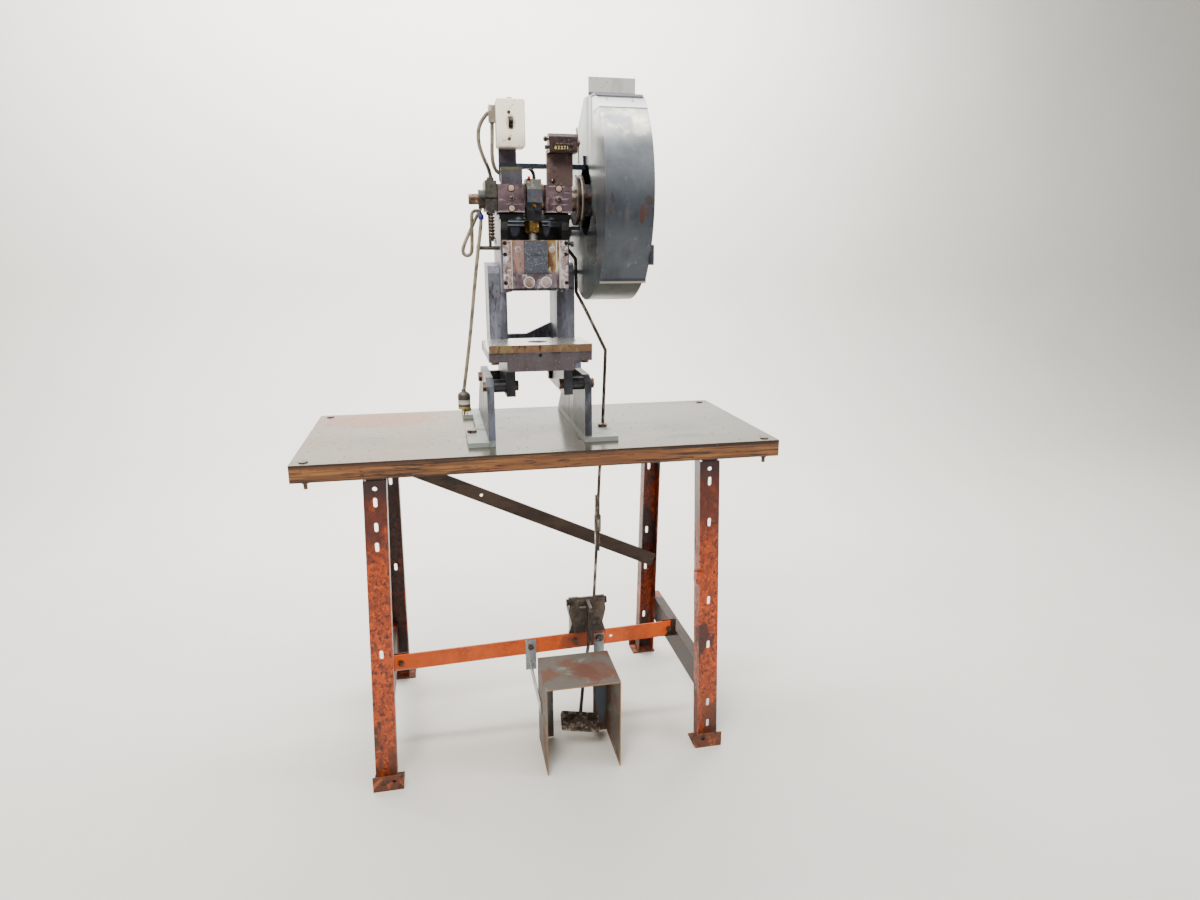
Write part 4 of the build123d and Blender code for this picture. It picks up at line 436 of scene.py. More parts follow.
# painted light: the cover grows paler towards its top, where light falls on it, mottled pale yellow up high
f.coat("#8b9095", ("Z", 1450, 1580), f.blotches(90, 0.3, 0.6, seed=30), cover=0.7)
f.coat("#c3c2b2", ("Z", 1580, 1668), f.blotches(60, 0.3, 0.55, seed=31), rough=0.22, cover=0.85)
f.coat("#e6e2c8", ("Z", 1590, 1650), f.blotches(18, 0.5, 0.6, seed=33), cover=0.75)
f.coat("#6f7780", ("Z", 1580, 1620), ("Z", 1670, 1650), f.blotches(40, 0.5, 0.6, seed=35), cover=0.6)
# painted highlight: a white line along the cover's top edge
f.coat("#ffffff", ("Z", 1676, 1680), rough=0.3, cover=0.9)
f.coat("#3b4070", ("Z", 1674, 1675), ("Z", 1678, 1677), cover=0.85)
rust_places = (((137, -88, 1478), (7, 30, 15), "#332b2a"), ((133, -90, 1456), (6, 30, 14), "#45312d"),
               ((219, -80, 1474), (14, 40, 14), "#3a312b"), ((205, -82, 1446), (8, 40, 28), "#4d2c22"),
               ((216, -80, 1452), (6, 40, 14), "#4b342b"), ((171, -90, 1444), (6, 30, 26), "#4f4b48"),
               ((176, -84, 1352), (8, 30, 18), "#54433f"))
for centre, size, colour in rust_places:
    f.coat(colour, f.patch(centre, size), rough=0.7)
f.coat("#b3a68f", ("Z", 1299, 1296), rough=0.5, cover=0.85)
dress(f, "guard_front_cover")

# %% [markdown]
# The guard's side shows three upright seams near its top, where the sheets overlap and dirt has
# gathered, and glossy near-black patches low down, below the clutch. Its paler top is a painted
# reflection.

# %% Guard drum, bracket and straps
f = galvanised("galvanised_drum", "#5f686b", "#a7aea6", "#2f3537")
# painted reflection: the drum is paler near its top
f.coat("#c3cac4", ("Z", 1600, 1690), cover=0.5)
for y, width, low in ((38, 4, 1560), (66, 6, 1600), (112, 12, 1540)):
    f.coat("#26282f", ("Z", low - 40, low), ("Y", y - width, y), ("Y", y + width * 2, y + width),
           ("X", 124, 122.5))
f.coat("#121211", f.patch((122, 70, 1400), (40, 90, 70), 0.6), rough=0.2, cover=0.85)
f.coat("#1a1b1b", f.patch((122, 30, 1352), (40, 90, 14), 0.5), rough=0.25)
f.coat("#54524a", ("Z", 1296, 1286), cover=0.6)
dress(f, "guard_drum")

f = galvanised("galvanised_bracket", "#dedcd4", "#f4f3ec", "#a39c90")
f.stain("#8f8270", 5, 0.58, 0.66, seed=14, distort=1.0, rough=0.6, cover=0.6)
# painted shadow: a dark blue band low on the bracket, under its overhang
f.coat("#2e3450", ("Z", 1726, 1722))
dress(f, "guard_top_bracket")

f = galvanised("galvanised_straps", "#7f868d", "#c6cacb", "#4b5157")
f.coat("#2e2b29", f.patch((184, 280, 212), (20, 20, 16), 0.4))
dress(f, "guard_straps")

# %% [markdown]
# ## Hot-rolled mill sheet on the pedal guard
#
# The box over the pedal is black mill sheet, bent once each side. Its top has rusted red brown, with
# grey green islands where the mill scale holds. Its cut edges are tan rust. The inner faces and the
# turned-in flanges stayed blue grey. Rust is rough and hardly metallic.

# %% Pedal guard
f = Finish("mill_sheet_pedal_guard", "#544d46", 0.6, 0.25)
f.stain("#64402e", 66, 0.46, 0.56, seed=2, distort=0.5, rough=0.75, cover=0.9)
f.stain("#646a5f", 30, 0.54, 0.64, seed=5, distort=0.8, rough=0.5)
f.coat("#5a3325", f.patch((110, 20, 259), (70, 60, 40), 0.6))
f.coat("#5d5148", ("Z", 254, 246), f.blotches(24, 0.4, 0.6, (1, 1, 3), 7))
f.coat("#8f6a46", ("Y", -50, -52.4), rough=0.8, cover=0.9)
f.coat("#9c7650", ("Z", 20, 6), f.blotches(10, 0.4, 0.6, seed=12), rough=0.85, cover=0.7)
for x in (-8, 155):
    f.coat("#5a6675", f.patch((x, 116, 130), (22, 5, 118), 0.2), rough=0.4, cover=0.85)
dress(f.bump(5, 0.3, seed=3, detail=5), "pedal_guard")


# %% [markdown]
# ## Sprayed enamel, chipped
#
# The bench frame is roll-formed sheet, sprayed bright orange and knocked for decades. Chips are 4 to
# 6 mm wide and run together. They show red-brown primer and steel. Oil from the top has darkened the
# upper quarter, and damp has browned the feet. A chip has a hard edge, so its mask has a narrow ramp.
# The rear brace has no orange left, only brown primer.

# %% Orange enamel
def orange_enamel(name, worn, paint="#b84200"):
    f = Finish(name, paint, 0.42)
    f.stain("#8a3200", 80, 0.4, 0.66, seed=1, cover=0.7)
    # painted highlights: small spots of paler orange
    f.stain("#d25a04", 5, 0.52, 0.6, seed=13, cover=0.7)
    f.stain("#6b2810", 5.5, 0.56 - worn, 0.62 - worn, (1, 1, 1.4), 21, 6, rough=0.5)
    f.stain("#371b14", 4, 0.62 - worn, 0.66 - worn, (1, 1, 1.5), 3, 6, rough=0.6, cover=0.9)
    f.stain("#2b1a18", 30, 0.66 - worn, 0.7 - worn, (1, 1, 2.4), 8, 7, rough=0.55, cover=0.85)
    return f.bump(5, 0.2, (1, 1, 1.4), 3, 6)


# %% Bench frame
f = orange_enamel("chipped_enamel_legs", 0.07, "#ae3f00")
f.coat("#42170e", ("Z", 600, 700), f.blotches(16, 0.2, 0.5, (1, 1, 2), 5), rough=0.35, cover=0.9)
f.coat("#241719", ("Z", 770, 820), f.blotches(60, 0.2, 0.45, seed=6), rough=0.3, cover=0.85)
f.coat("#4a2c1c", ("Z", 250, 60), f.blotches(12, 0.34, 0.56, (1, 1, 3), 7), rough=0.7, cover=0.9)
# painted shade: the rear legs grow dark towards the back, in blotches
f.coat("#241a19", ("Y", 300, 540), f.blotches(40, 0.44, 0.56, (1, 1, 3), 15), cover=0.85)
f.coat("#15100e", ("Y", 44, 50), ("Y", 514, 506), ("Z", 420, 380), rough=0.5, cover=0.93)
dress(f, "leg_set_left", "leg_set_right")
f = Finish("primed_steel_brace", "#39291f", 0.5, 0.1)
f.stain("#54402f", 30, 0.44, 0.62, (3, 1, 1), 4, cover=0.7)
f.stain("#241a17", 12, 0.52, 0.62, (3, 1, 1), 8)
dress(f.bump(6, 0.2, seed=3), "rear_brace")

f = orange_enamel("bright_enamel_stringer", -0.08, "#e05a0c")
f.coat("#4a2a20", f.patch((150, 283, 212), (66, 20, 40), 0.8))
f.coat("#6b3524", f.patch((96, 283, 205), (40, 20, 30), 0.7), cover=0.7)
f.coat("#a59a92", ("X", -330, -400), ("Z", 180, 172), cover=0.6)
dress(f, "stringer")

f = Finish("rusty_sheet_feet", "#5a3120", 0.8)
f.stain("#a04c1e", 14, 0.52, 0.62, seed=4, distort=0.6, rough=0.6, cover=0.85)
f.stain("#2e1b14", 9, 0.52, 0.62, seed=7, cover=0.9)
dress(f.bump(4, 0.3, seed=2, detail=5), "feet")

# %% [markdown]
# ## Cold-rolled sheet under oil
#
# The top is a steel sheet on two planks. Under its oil it mirrors the machine softly, so it is partly
# metallic and quite smooth, with a brown haze that is strongest at the left and the back. The specks
# are spatter: large ones about 70 mm apart, small ones about 24 mm.

# %% Bench sheet
f = Finish("oiled_steel_sheet", "#434036", 0.26, 0.4)
f.stain("#56544a", 220, 0.42, 0.62, (2, 1, 1), 2, distort=0.4, rough=0.18, cover=0.6)
f.stain("#352f27", 120, 0.48, 0.66, (2.5, 1, 1), 6, distort=0.6, rough=0.3, cover=0.75)
f.coat("#6b4f38", ("X", -40, -400), f.blotches(140, 0.3, 0.56, seed=9), rough=0.3, cover=0.75)
f.coat("#7d4a30", f.patch((-430, 470, 886), (200, 120, 20), 0.8), rough=0.35)
f.coat("#4b3d33", f.patch((-150, 190, 886), (110, 120, 20), 0.7), rough=0.2, cover=0.7)
f.coat("#463b34", f.patch((60, 120, 886), (140, 110, 20), 0.7), rough=0.16, cover=0.75)
f.coat("#54463a", ("Y", 60, 8), f.blotches(90, 0.36, 0.58, (3, 1, 1), 14), rough=0.25, cover=0.7)
f.coat("#1f1a16", f.specks(70, 0.055, 3), rough=0.5, cover=0.95)
f.coat("#2f2822", f.specks(24, 0.07, 8), f.blotches(90, 0.45, 0.6, seed=41))
# painted reflection: a pale tan patch on the oiled sheet under the hanging plug, mirroring its face
f.coat("#a9865e", f.patch((-205, 172, 886), (16, 26, 20), 0.6), rough=0.5, cover=0.7)
f.coat("#3d2c22", ("Y", 1.2, 0.4))
dress(f.bump(320, 1.8, seed=1, detail=2).bump(3, 0.03, (8, 1, 1), 4), "bench_sheet")

# %% [markdown]
# ## Sawn fir, oiled
#
# The planks are fir. Rings are 3 to 8 mm apart on the edge and far longer than wide, orange where the
# wood is bare and nearly black where oil soaked in. At the right, the sheet stands off the wood, and
# the shade in that gap is painted as a dark line along the top of the planks.

# %% Planks
f = Finish("oiled_fir", "#754723", 0.6)
f.stain("#8e5f2f", 14, 0.44, 0.6, (12, 1, 1), 5, cover=0.75)
f.stain("#5a371d", 3.4, 0.46, 0.56, (30, 1, 1), 3, cover=0.85)
f.stain("#24140d", 4.0, 0.57, 0.61, (30, 1, 1), 11, distort=0.3, cover=0.9)
f.stain("#1c100b", 2.6, 0.57, 0.6, (14, 1, 1), 19, cover=0.85)
f.stain("#3a2418", 30, 0.5, 0.7, (3, 1, 1), 8, distort=0.8, rough=0.4, cover=0.5)
f.coat("#3c2517", ("Z", 850, 844.5), f.blotches(16, 0.3, 0.5, (6, 1, 1), 18))
f.coat("#332016", ("Z", 874, 879), f.blotches(16, 0.3, 0.5, (6, 1, 1), 20))
f.stain("#20140f", 3.4, 0.6, 0.66, (4, 1, 1), 16)
# painted shade: the dark line under the lifted sheet at the right
f.coat("#1c120e", ("X", 220, 330), ("X", 606, 590), ("Z", 875.5, 878), cover=0.9)
dress(f.bump(5, 0.5, (24, 1, 1), 3), "bench_planks")

# %% [markdown]
# ## Motor enamel, belt rubber and switch enamel
#
# The motor is stove enamel over a finned shell, hardly shiny under dust. The switch box is cream
# enamel, thumbed brown about its toggle and chipped at its corners. The toggle is moulded phenolic,
# black and smooth.

# %% Motor and belt
f = Finish("stove_enamel_motor", "#4a5157", 0.45, 0.1)
f.stain("#2b2928", 44, 0.5, 0.64, seed=3, distort=0.7, rough=0.3, cover=0.85)
f.stain("#6b4a36", 7, 0.62, 0.7, seed=6, cover=0.6)
motor_enamel = f.bump(2, 0.12, seed=2).done()
dress(motor_enamel, "motor_body")

f = Finish("moulded_rubber_belt", "#1c1b1b", 0.75)
f.stain("#3a3734", 12, 0.5, 0.66, seed=3, cover=0.6)
dress(f.bump(1.5, 0.15, seed=5), "drive_belt")

# %% Switch box and toggle
f = Finish("cream_enamel_box", "#fbf3de", 0.38)
f.stain("#cbb98f", 36, 0.46, 0.64, (1, 1, 2), 2, cover=0.7)
f.coat("#b3a39c", ("Z", 1646, 1606), cover=0.5)
f.stain("#7d6647", 9, 0.6, 0.68, seed=5, distort=0.8, rough=0.6, cover=0.75)
f.coat("#8a7256", f.patch((-61.5, 112, 1656), (13, 8, 24), 0.5), cover=0.6)
f.coat("#6f5a44", ("Y", 121.5, 123), f.blotches(30, 0.3, 0.5, seed=12), cover=0.55)
f.coat("#23201e", ("Z", 1709.4, 1710.4), rough=0.35, cover=1)
f.coat("#5a5146", ("X", -95.2, -96.4), f.blotches(8, 0.3, 0.5, seed=8), cover=0.85)
dress(f.bump(3, 0.08, seed=9), "switch_box")

f = Finish("phenolic_toggle", "#171615", 0.28)
f.stain("#4b4743", 4, 0.54, 0.66, seed=3, cover=0.6)
dress(f, "switch_toggle")

# %% [markdown]
# ## Cords
#
# Cords are moulded rubber, matt under a dusty brown, with paler scuffs. The power cord leaves the
# switch box, drops behind the brake, is folded back on itself in a short hank, and hangs down to its
# plug beside the left leg. The motor's cable runs behind the head. A cord is one smooth line, so each
# is a single NURBS curve of order 3 with a round bevel, on the points of its CAD tube.

# %% Cord rubber
f = Finish("dusty_cord_rubber", "#7f7461", 0.55)
f.stain("#574e40", 14, 0.46, 0.6, seed=3, cover=0.85)
f.stain("#91876f", 4, 0.6, 0.7, seed=6, cover=0.6)
cord_rubber = f.bump(2, 0.08, seed=4).done()
dress(cord_rubber, "power_cord", "motor_cable", "plug")


# %% Cords
def placed(name, data):
    """A new object in the scene, at the origin."""
    piece = bpy.data.objects.new(name, data)
    bpy.context.scene.collection.objects.link(piece)
    return piece


def cord(name, points, diameter):
    """A round cord along a smooth line."""
    curve = bpy.data.curves.new(name, "CURVE")
    curve.dimensions = "3D"
    curve.bevel_depth = diameter / 2
    curve.bevel_resolution = 4
    curve.resolution_u = 10
    curve.use_fill_caps = True
    spline = curve.splines.new("NURBS")
    spline.points.add(len(points) - 1)
    for point, place in zip(spline.points, points):
        point.co = (*spot(*place), 1.0)
    spline.order_u = 3
    spline.use_endpoint_u = True
    curve.materials.append(cord_rubber)
    piece = placed(name, curve)
    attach(piece, "frame")
    print(name, "runs through", len(points), "points")
    return piece


power_points = (
    (-111, 141, 1682), (-125, 142, 1668), (-136, 144, 1644), (-136, 148, 1614), (-125, 158, 1583),
    (-110, 182, 1558), (-104, 208, 1534), (-112, 217, 1504), (-132, 213, 1472), (-155, 207, 1428),
    (-172, 202, 1394), (-180, 199, 1376), (-182, 197, 1362), (-175.6, 195, 1355.6), (-166.6, 193, 1355.6),
    (-160.2, 191, 1362), (-158.5, 189, 1380), (-158, 186, 1412), (-157.5, 182, 1440), (-157, 180, 1456),
    (-150.6, 178, 1462.4), (-141.6, 176, 1462.4), (-135.2, 174, 1456), (-135, 172, 1439),
    (-139, 169, 1408), (-148, 167, 1352), (-158, 167.5, 1280), (-168, 168, 1200), (-181, 168, 1108),
    (-196, 168, 1016))
motor_points = (
    (-103, 141, 1660), (-103.5, 143, 1628), (-105, 150, 1594), (-102, 162, 1568), (-92, 174, 1552),
    (-74, 181, 1547), (-52, 183, 1553), (-30, 186, 1567), (-8, 197, 1567), (6, 224, 1552),
    (8, 270, 1534), (8, 316, 1514), (9, 350, 1494), (9, 379, 1487))
power = cord("power_lead", power_points, 0.009)
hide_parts("power_cord")
motor_lead = cord("motor_lead", motor_points, 0.009)
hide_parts("motor_cable")


# %% [markdown]
# ## A shape spun from its outline
#
# A plug, like any moulded round thing, is its outline spun around its middle. The outline is a list
# of radius and height, each with the number of the material that starts there, so the plug's dark
# body, pale band and yellow face come out of one mesh.

# %% Spun shapes
def mesh_piece(name, verts, faces, materials, body, numbers=None):
    """A smooth mesh object at the origin that rides on a body."""
    mesh = bpy.data.meshes.new(name)
    mesh.from_pydata([tuple(v) for v in verts], [], faces)
    for material in materials:
        mesh.materials.append(material)
    if numbers:
        mesh.polygons.foreach_set("material_index", numbers)
    mesh.shade_smooth()
    mesh.update()
    piece = placed(name, mesh)
    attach(piece, body)
    print(name, "has", len(faces), "faces")
    return piece


def spun(centre, outline, around=32):
    """Verts, faces and face materials of (radius, height, material) spun about Z, from low to high."""
    turns = [2 * math.pi * i / around for i in range(around)]
    verts = [centre + Vector((r * math.cos(a), r * math.sin(a), h)) / 1000
             for r, h, _ in outline for a in turns]
    faces, numbers = [], []
    for j in range(len(outline) - 1):
        for i in range(around):
            a, b = j * around + i, j * around + (i + 1) % around
            faces.append((a, b, b + around, a + around))
            numbers.append(outline[j][2])
    faces += [tuple(range(around))[::-1], tuple(range(len(verts) - around, len(verts)))]
    return verts, faces, numbers + [outline[0][2], outline[-1][2]]


# %% [markdown]
# ## The plug
#
# It is moulded rubber with a bare band where a rating would be printed and a yellow face. Two flat
# blades and a round earth pin stand out below. The blades are small tapered bars in the same mesh.

# %% Plug
f = Finish("moulded_rubber_plug", "#3b342e", 0.5)
f.stain("#5b5145", 8, 0.5, 0.64, seed=3, cover=0.7)
plug_rubber = f.bump(2, 0.1, seed=6).done()
plug_band = Finish("moulded_rubber_band", "#b9b3a6", 0.5).stain(
    "#8c8476", 6, 0.5, 0.64, seed=3, cover=0.7).done()
plug_face = Finish("moulded_nylon_face", "#a8912f", 0.45).stain(
    "#6b5a20", 5, 0.5, 0.64, seed=3, cover=0.7).done()
blade_brass = fastener("stamped_brass_blades", "#b39a6a", "#6d5c3c", "#efe0b8")

PLUG_X, PLUG_Y, PLUG_Z = -196, 168, 971
plug_outline = ((14.6, 0, 2), (15.8, 0.6, 2), (16.0, 2, 2), (16.0, 6, 0), (15.8, 6.4, 0), (15.8, 13, 1),
                (15.6, 13.4, 1), (15.6, 24, 0), (15.9, 24.6, 0), (15.9, 35, 0), (15.2, 38, 0), (12.6, 41, 0),
                (8.6, 43.6, 0), (6.0, 44.6, 0), (5.6, 47, 0), (5.2, 52, 0))
verts, faces, numbers = spun(spot(PLUG_X, PLUG_Y, PLUG_Z), plug_outline)
pins = [([(0.9, 3.1), (-0.9, 3.1), (-0.9, -3.1), (0.9, -3.1)], x, -3.9, -16) for x in (-6.35, 6.35)]
round_pin = [(2.4 * math.cos(a * math.pi / 6), 2.4 * math.sin(a * math.pi / 6)) for a in range(12)]
pins.append((round_pin, 0, 7, -18))
for outline, x, y, tip in pins:
    first, n = len(verts), len(outline)
    for z, share in ((tip, 0.7), (tip + 2, 1.0), (2, 1.0)):
        verts += [spot(PLUG_X + x + u * share, PLUG_Y + y + v * share, PLUG_Z + z) for u, v in outline]
    for ring in (0, n):
        faces += [tuple(first + ring + k for k in (i, (i + 1) % n, (i + 1) % n + n, i + n)) for i in range(n)]
    faces += [tuple(range(first, first + n))[::-1], tuple(range(first + 2 * n, first + 3 * n))]
    numbers += [3] * (2 * n + 2)
plug_materials = [plug_rubber, plug_band, plug_face, blade_brass]
plug_piece = mesh_piece("plug_moulding", verts, faces, plug_materials, "frame", numbers)
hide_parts("plug")


# %% [markdown]
# ## Geometry Nodes for what repeats
#
# Screws, rings, rivets and beads repeat, and a tree that places one on each point keeps them alike.
# The points are a mesh of loose vertices, and the direction that each faces is kept beside it as an
# attribute. The tree turns one shape that way on every point, makes the copies real and gives them
# their material. Its sizes are named inputs, set on the modifier by their identifiers, so one tree
# serves every size. The result becomes plain mesh at once, because an export keeps no instances.

# %% Trees that set a shape on each point
def new_tree(name, *sizes):
    """A geometry tree with points, a material and named sizes as its inputs."""
    tree = bpy.data.node_groups.new(name, "GeometryNodeTree")
    tree.interface.new_socket("Points", in_out="INPUT", socket_type="NodeSocketGeometry")
    tree.interface.new_socket("Material", in_out="INPUT", socket_type="NodeSocketMaterial")
    for size in sizes:
        tree.interface.new_socket(size, in_out="INPUT", socket_type="NodeSocketFloat")
    tree.interface.new_socket("Mesh", in_out="OUTPUT", socket_type="NodeSocketGeometry")
    return tree, add(tree, "NodeGroupInput").outputs


def end_tree(tree, group, shape, scale=None, smooth=False):
    """Sets a shape on each point, its Z along the point's facing, and ends the tree."""
    facing = add(tree, "GeometryNodeInputNamedAttribute", {"Name": "facing"}, data_type="FLOAT_VECTOR")
    turn = add(tree, "FunctionNodeAlignRotationToVector", {"Vector": facing.outputs[0]}, axis="Z")
    copies = add(tree, "GeometryNodeInstanceOnPoints",
                 {"Points": group["Points"], "Instance": shape, "Rotation": turn.outputs[0]})
    if scale is not None:
        tree.links.new(scale, copies.inputs["Scale"])
    shaded = add(tree, "GeometryNodeSetShadeSmooth", {"Geometry": copies.outputs[0], "Shade Smooth": smooth})
    real = add(tree, "GeometryNodeRealizeInstances", {"Geometry": shaded.outputs[0]})
    painted = add(tree, "GeometryNodeSetMaterial",
                  {"Geometry": real.outputs[0], "Material": group["Material"]})
    add(tree, "NodeGroupOutput", {0: painted.outputs[0]})
    return tree


FRONT, UP, DOWN, LEFT = (0, -1, 0), (0, 0, 1), (0, 0, -1), (-1, 0, 0)


def plain_mesh(piece):
    """What an object looks like with its modifiers, as a mesh of its own."""
    bpy.context.view_layer.update()
    return bpy.data.meshes.new_from_object(piece.evaluated_get(bpy.context.evaluated_depsgraph_get()))


def grow(name, tree, sizes, material, places, facings=FRONT, body="frame"):
    """Runs a tree on points, with sizes in mm, and keeps its plain mesh, which rides on a body."""
    seeds = bpy.data.meshes.new(name + "_points")
    seeds.from_pydata([tuple(spot(*p)) for p in places], [], [])
    if not isinstance(facings, list):
        facings = [facings] * len(places)
    facing = seeds.attributes.new("facing", "FLOAT_VECTOR", "POINT")
    facing.data.foreach_set("vector", [c for f in facings for c in f])
    piece = placed(name, seeds)
    modifier = piece.modifiers.new("grow", "NODES")
    modifier.node_group = tree
    for socket in tree.interface.items_tree:
        if socket.name in sizes:
            modifier[socket.identifier] = sizes[socket.name] / 1000
        elif socket.name == "Material":
            modifier[socket.identifier] = material
    made = plain_mesh(piece)
    piece.modifiers.clear()
    piece.data = made
    bpy.data.meshes.remove(seeds)
    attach(piece, body)
    print(name, "has", len(made.polygons), "faces on", len(places), "points")
    return piece


# %% [markdown]
# ## Rings under the bolts
#
# A flat ring is a small rectangle swept round a circle. One tree makes the bright rings under the
# ram's big bolts and the dark rings of grease about the cap bolts.

# %% Ring tree
washer, group = new_tree("washer", "Middle radius", "Width", "Thickness")
outline = add(washer, "GeometryNodeCurvePrimitiveQuadrilateral",
              {"Width": group["Width"], "Height": group["Thickness"]})
ring = add(washer, "GeometryNodeCurvePrimitiveCircle", {"Resolution": 28, "Radius": group["Middle radius"]})
swept = add(washer, "GeometryNodeCurveToMesh",
            {"Curve": ring.outputs[0], "Profile Curve": outline.outputs[0]})
end_tree(washer, group, swept.outputs[0])

# %% Rings
bright_ring = Finish("polished_steel_ring", "#e6dde0", 0.25, 0.5).stain(
    "#a08f92", 5, 0.54, 0.66, seed=3, rough=0.45, cover=0.7).done()
grease = Finish("lithium_grease", "#1d1617", 0.25, 0.1).stain(
    "#4a3a34", 4, 0.5, 0.64, seed=5, cover=0.7).done()
PRESS_X = -9
grow("clamp_bolt_rings", washer, {"Middle radius": 11.6, "Width": 4.6, "Thickness": 2.6}, bright_ring,
     [(PRESS_X + x, 103.4, 1292) for x in (-19, 23)], FRONT, "ram")
grow("face_screw_rings", washer, {"Middle radius": 6.6, "Width": 2.2, "Thickness": 1.0}, bright_ring,
     [(PRESS_X + x, 117.8, 1370) for x in (-43, 41)], FRONT, "ram")
grow("cap_bolt_rings", washer, {"Middle radius": 7.9, "Width": 1.9, "Thickness": 1.0}, grease,
     [(PRESS_X + x, 99.8, z) for x in (-57, 57) for z in (1465, 1511)], FRONT, "frame")

# %% [markdown]
# ## Slotted screws
#
# Round-head screws are a dome with a slot cut across it. The cut is a Boolean in the tree, so every
# head gets a real slot that catches the light. The shape is made one unit wide and high, and only its
# scale comes from the inputs.

# %% Slotted screw tree
slotted, group = new_tree("slotted_screw", "Radius", "Height")
ball = add(slotted, "GeometryNodeMeshUVSphere", {"Segments": 20, "Rings": 12, "Radius": 1.0})
slot_bar = add(slotted, "GeometryNodeMeshCube", {"Size": (2.6, 0.3, 1.0)})
lifted = add(slotted, "GeometryNodeTransform",
             {"Geometry": slot_bar.outputs[0], "Translation": (0, 0, 1.05),
              "Rotation": (0, 0, math.radians(35))})
headed = add(slotted, "GeometryNodeMeshBoolean", {"Mesh 1": ball.outputs[0], "Mesh 2": lifted.outputs[0]},
             operation="DIFFERENCE")
size = add(slotted, "ShaderNodeCombineXYZ", {0: group["Radius"], 1: group["Radius"], 2: group["Height"]})
end_tree(slotted, group, headed.outputs[0], size.outputs[0])

# %% Slotted screws
dark_screw = fastener("blued_steel_screws", "#4a3c33", "#1d1713", "#8a7a6c", 0.6)
rivet_zinc = fastener("zinc_rivets", "#c9ccc8", "#6d6f70", "#ffffff")
grow("box_screws", slotted, {"Radius": 4.4, "Height": 2.2}, dark_screw,
     [(-66, 112.4, z) for z in (1621.5, 1679.5)])
grow("cap_centre_screws", slotted, {"Radius": 4.4, "Height": 3.0}, dark_screw,
     [(PRESS_X + x, 96.0, 1488) for x in (-57, 57)])
grow("tower_screw", slotted, {"Radius": 5.2, "Height": 2.4}, dark_screw, [(40, 134.6, 1532)])
grow("guard_rivets", slotted, {"Radius": 4.6, "Height": 2.4}, rivet_zinc,
     [(142, 0, 1695.8), (201, -2, 1694.2)], (0, -0.68, 0.73))

# %% [markdown]
# ## Hexagon bolts
#
# A cone primitive with six sides is a hexagon. A flat washer face under it and a shallow chamfer on
# top make it read as a rolled bolt instead of a block.

# %% Hexagon bolt tree
hexagon, group = new_tree("hexagon_bolt", "Radius", "Height")
parts = add(hexagon, "GeometryNodeJoinGeometry")
layers = ((0, 0.2, 1.06, 1.02, 20), (0.2, 0.7, 1.0, 1.0, 6), (0.9, 0.12, 1.0, 0.84, 6))
for low, tall, base, top, sides in layers:
    piece = add(hexagon, "GeometryNodeMeshCone",
                {"Vertices": sides, "Radius Top": top, "Radius Bottom": base, "Depth": tall})
    put = add(hexagon, "GeometryNodeTransform", {"Geometry": piece.outputs[0], "Translation": (0, 0, low)})
    hexagon.links.new(put.outputs[0], parts.inputs[0])
size = add(hexagon, "ShaderNodeCombineXYZ", {0: group["Radius"], 1: group["Radius"], 2: group["Height"]})
end_tree(hexagon, group, parts.outputs[0], size.outputs[0])

# %% [markdown]
# Small hexagons close the motor's end shield. Another hangs under the connecting rod's big end, in
# greasy brass, and travels with the rod, so it rides on its body.

# %% Hexagon bolts
MOTOR_Y, MOTOR_Z = 405, 1415
BOLT_CIRCLE = 52
ends = [(BOLT_CIRCLE * math.cos(math.radians(a)) + MOTOR_Y, BOLT_CIRCLE * math.sin(math.radians(a)) + MOTOR_Z)
        for a in (45, 135, 225, 315)]
grow("motor_end_bolts", hexagon, {"Radius": 4.6, "Height": 4}, black_oxide,
     [(-80.2, y, z) for y, z in ends], LEFT)
rod_brass = fastener("greasy_brass_plug", "#b5862f", "#5a3c14", "#f2d894", 0.9)
grow("rod_drain_plug", hexagon, {"Radius": 6, "Height": 5}, rod_brass, [(-10, 110, 1474.5)],
     DOWN, "con_rod")

# %% [markdown]
# A red cap covers the oil hole on the rod's top. It is moulded nylon, smooth and a little glossy.

# %% Oil cap
f = Finish("moulded_nylon_cap", "#c4281c", 0.35)
f.stain("#6b1710", 3, 0.5, 0.64, seed=3, cover=0.7)
verts, faces, _ = spun(spot(-20, 128, 1534.4), ((3.8, 0, 0), (3.6, 5, 0), (2.6, 6.2, 0), (0.6, 6.5, 0)), 20)
mesh_piece("oil_cap", verts, faces, [f.done()], "con_rod")

# %% [markdown]
# ## The brake's coil spring
#
# The solid model shows the brake's spring as a stack of rings. The real one is wound wire, and a wire
# that follows a spiral is what a sweep is for: a spiral curve, with a circle as its profile.

# %% Coil spring
coil, group = new_tree("coil", "Coil radius", "Wire radius", "Height")
spiral = add(coil, "GeometryNodeCurveSpiral",
             {"Resolution": 24, "Rotations": 7.0, "Start Radius": group["Coil radius"],
              "End Radius": group["Coil radius"], "Height": group["Height"]})
wire = add(coil, "GeometryNodeCurvePrimitiveCircle", {"Resolution": 8, "Radius": group["Wire radius"]})
wound = add(coil, "GeometryNodeCurveToMesh",
            {"Curve": spiral.outputs[0], "Profile Curve": wire.outputs[0], "Fill Caps": True})
end_tree(coil, group, wound.outputs[0], smooth=True)
low, high = [Vector(corner) * 1000 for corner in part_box("brake_spring")]
wire_radius = 1.6
spring_sizes = {"Coil radius": (high.x - low.x) / 2 - wire_radius, "Wire radius": wire_radius,
                "Height": high.z - low.z - 2 * wire_radius}
foot = ((low.x + high.x) / 2, (low.y + high.y) / 2 - BENCH_FRONT * 1000, low.z + wire_radius)
spring = grow("coil_spring", coil, spring_sizes, rusty_zinc, [foot], UP)
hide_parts("brake_spring")

# %% [markdown]
# ## Weld beads
#
# The guard's straps are arc welded to its sides. A bead is a row of overlapping ripples, so a ball is
# set every 2 mm along each seam, each with a slightly different size from a seeded random value.

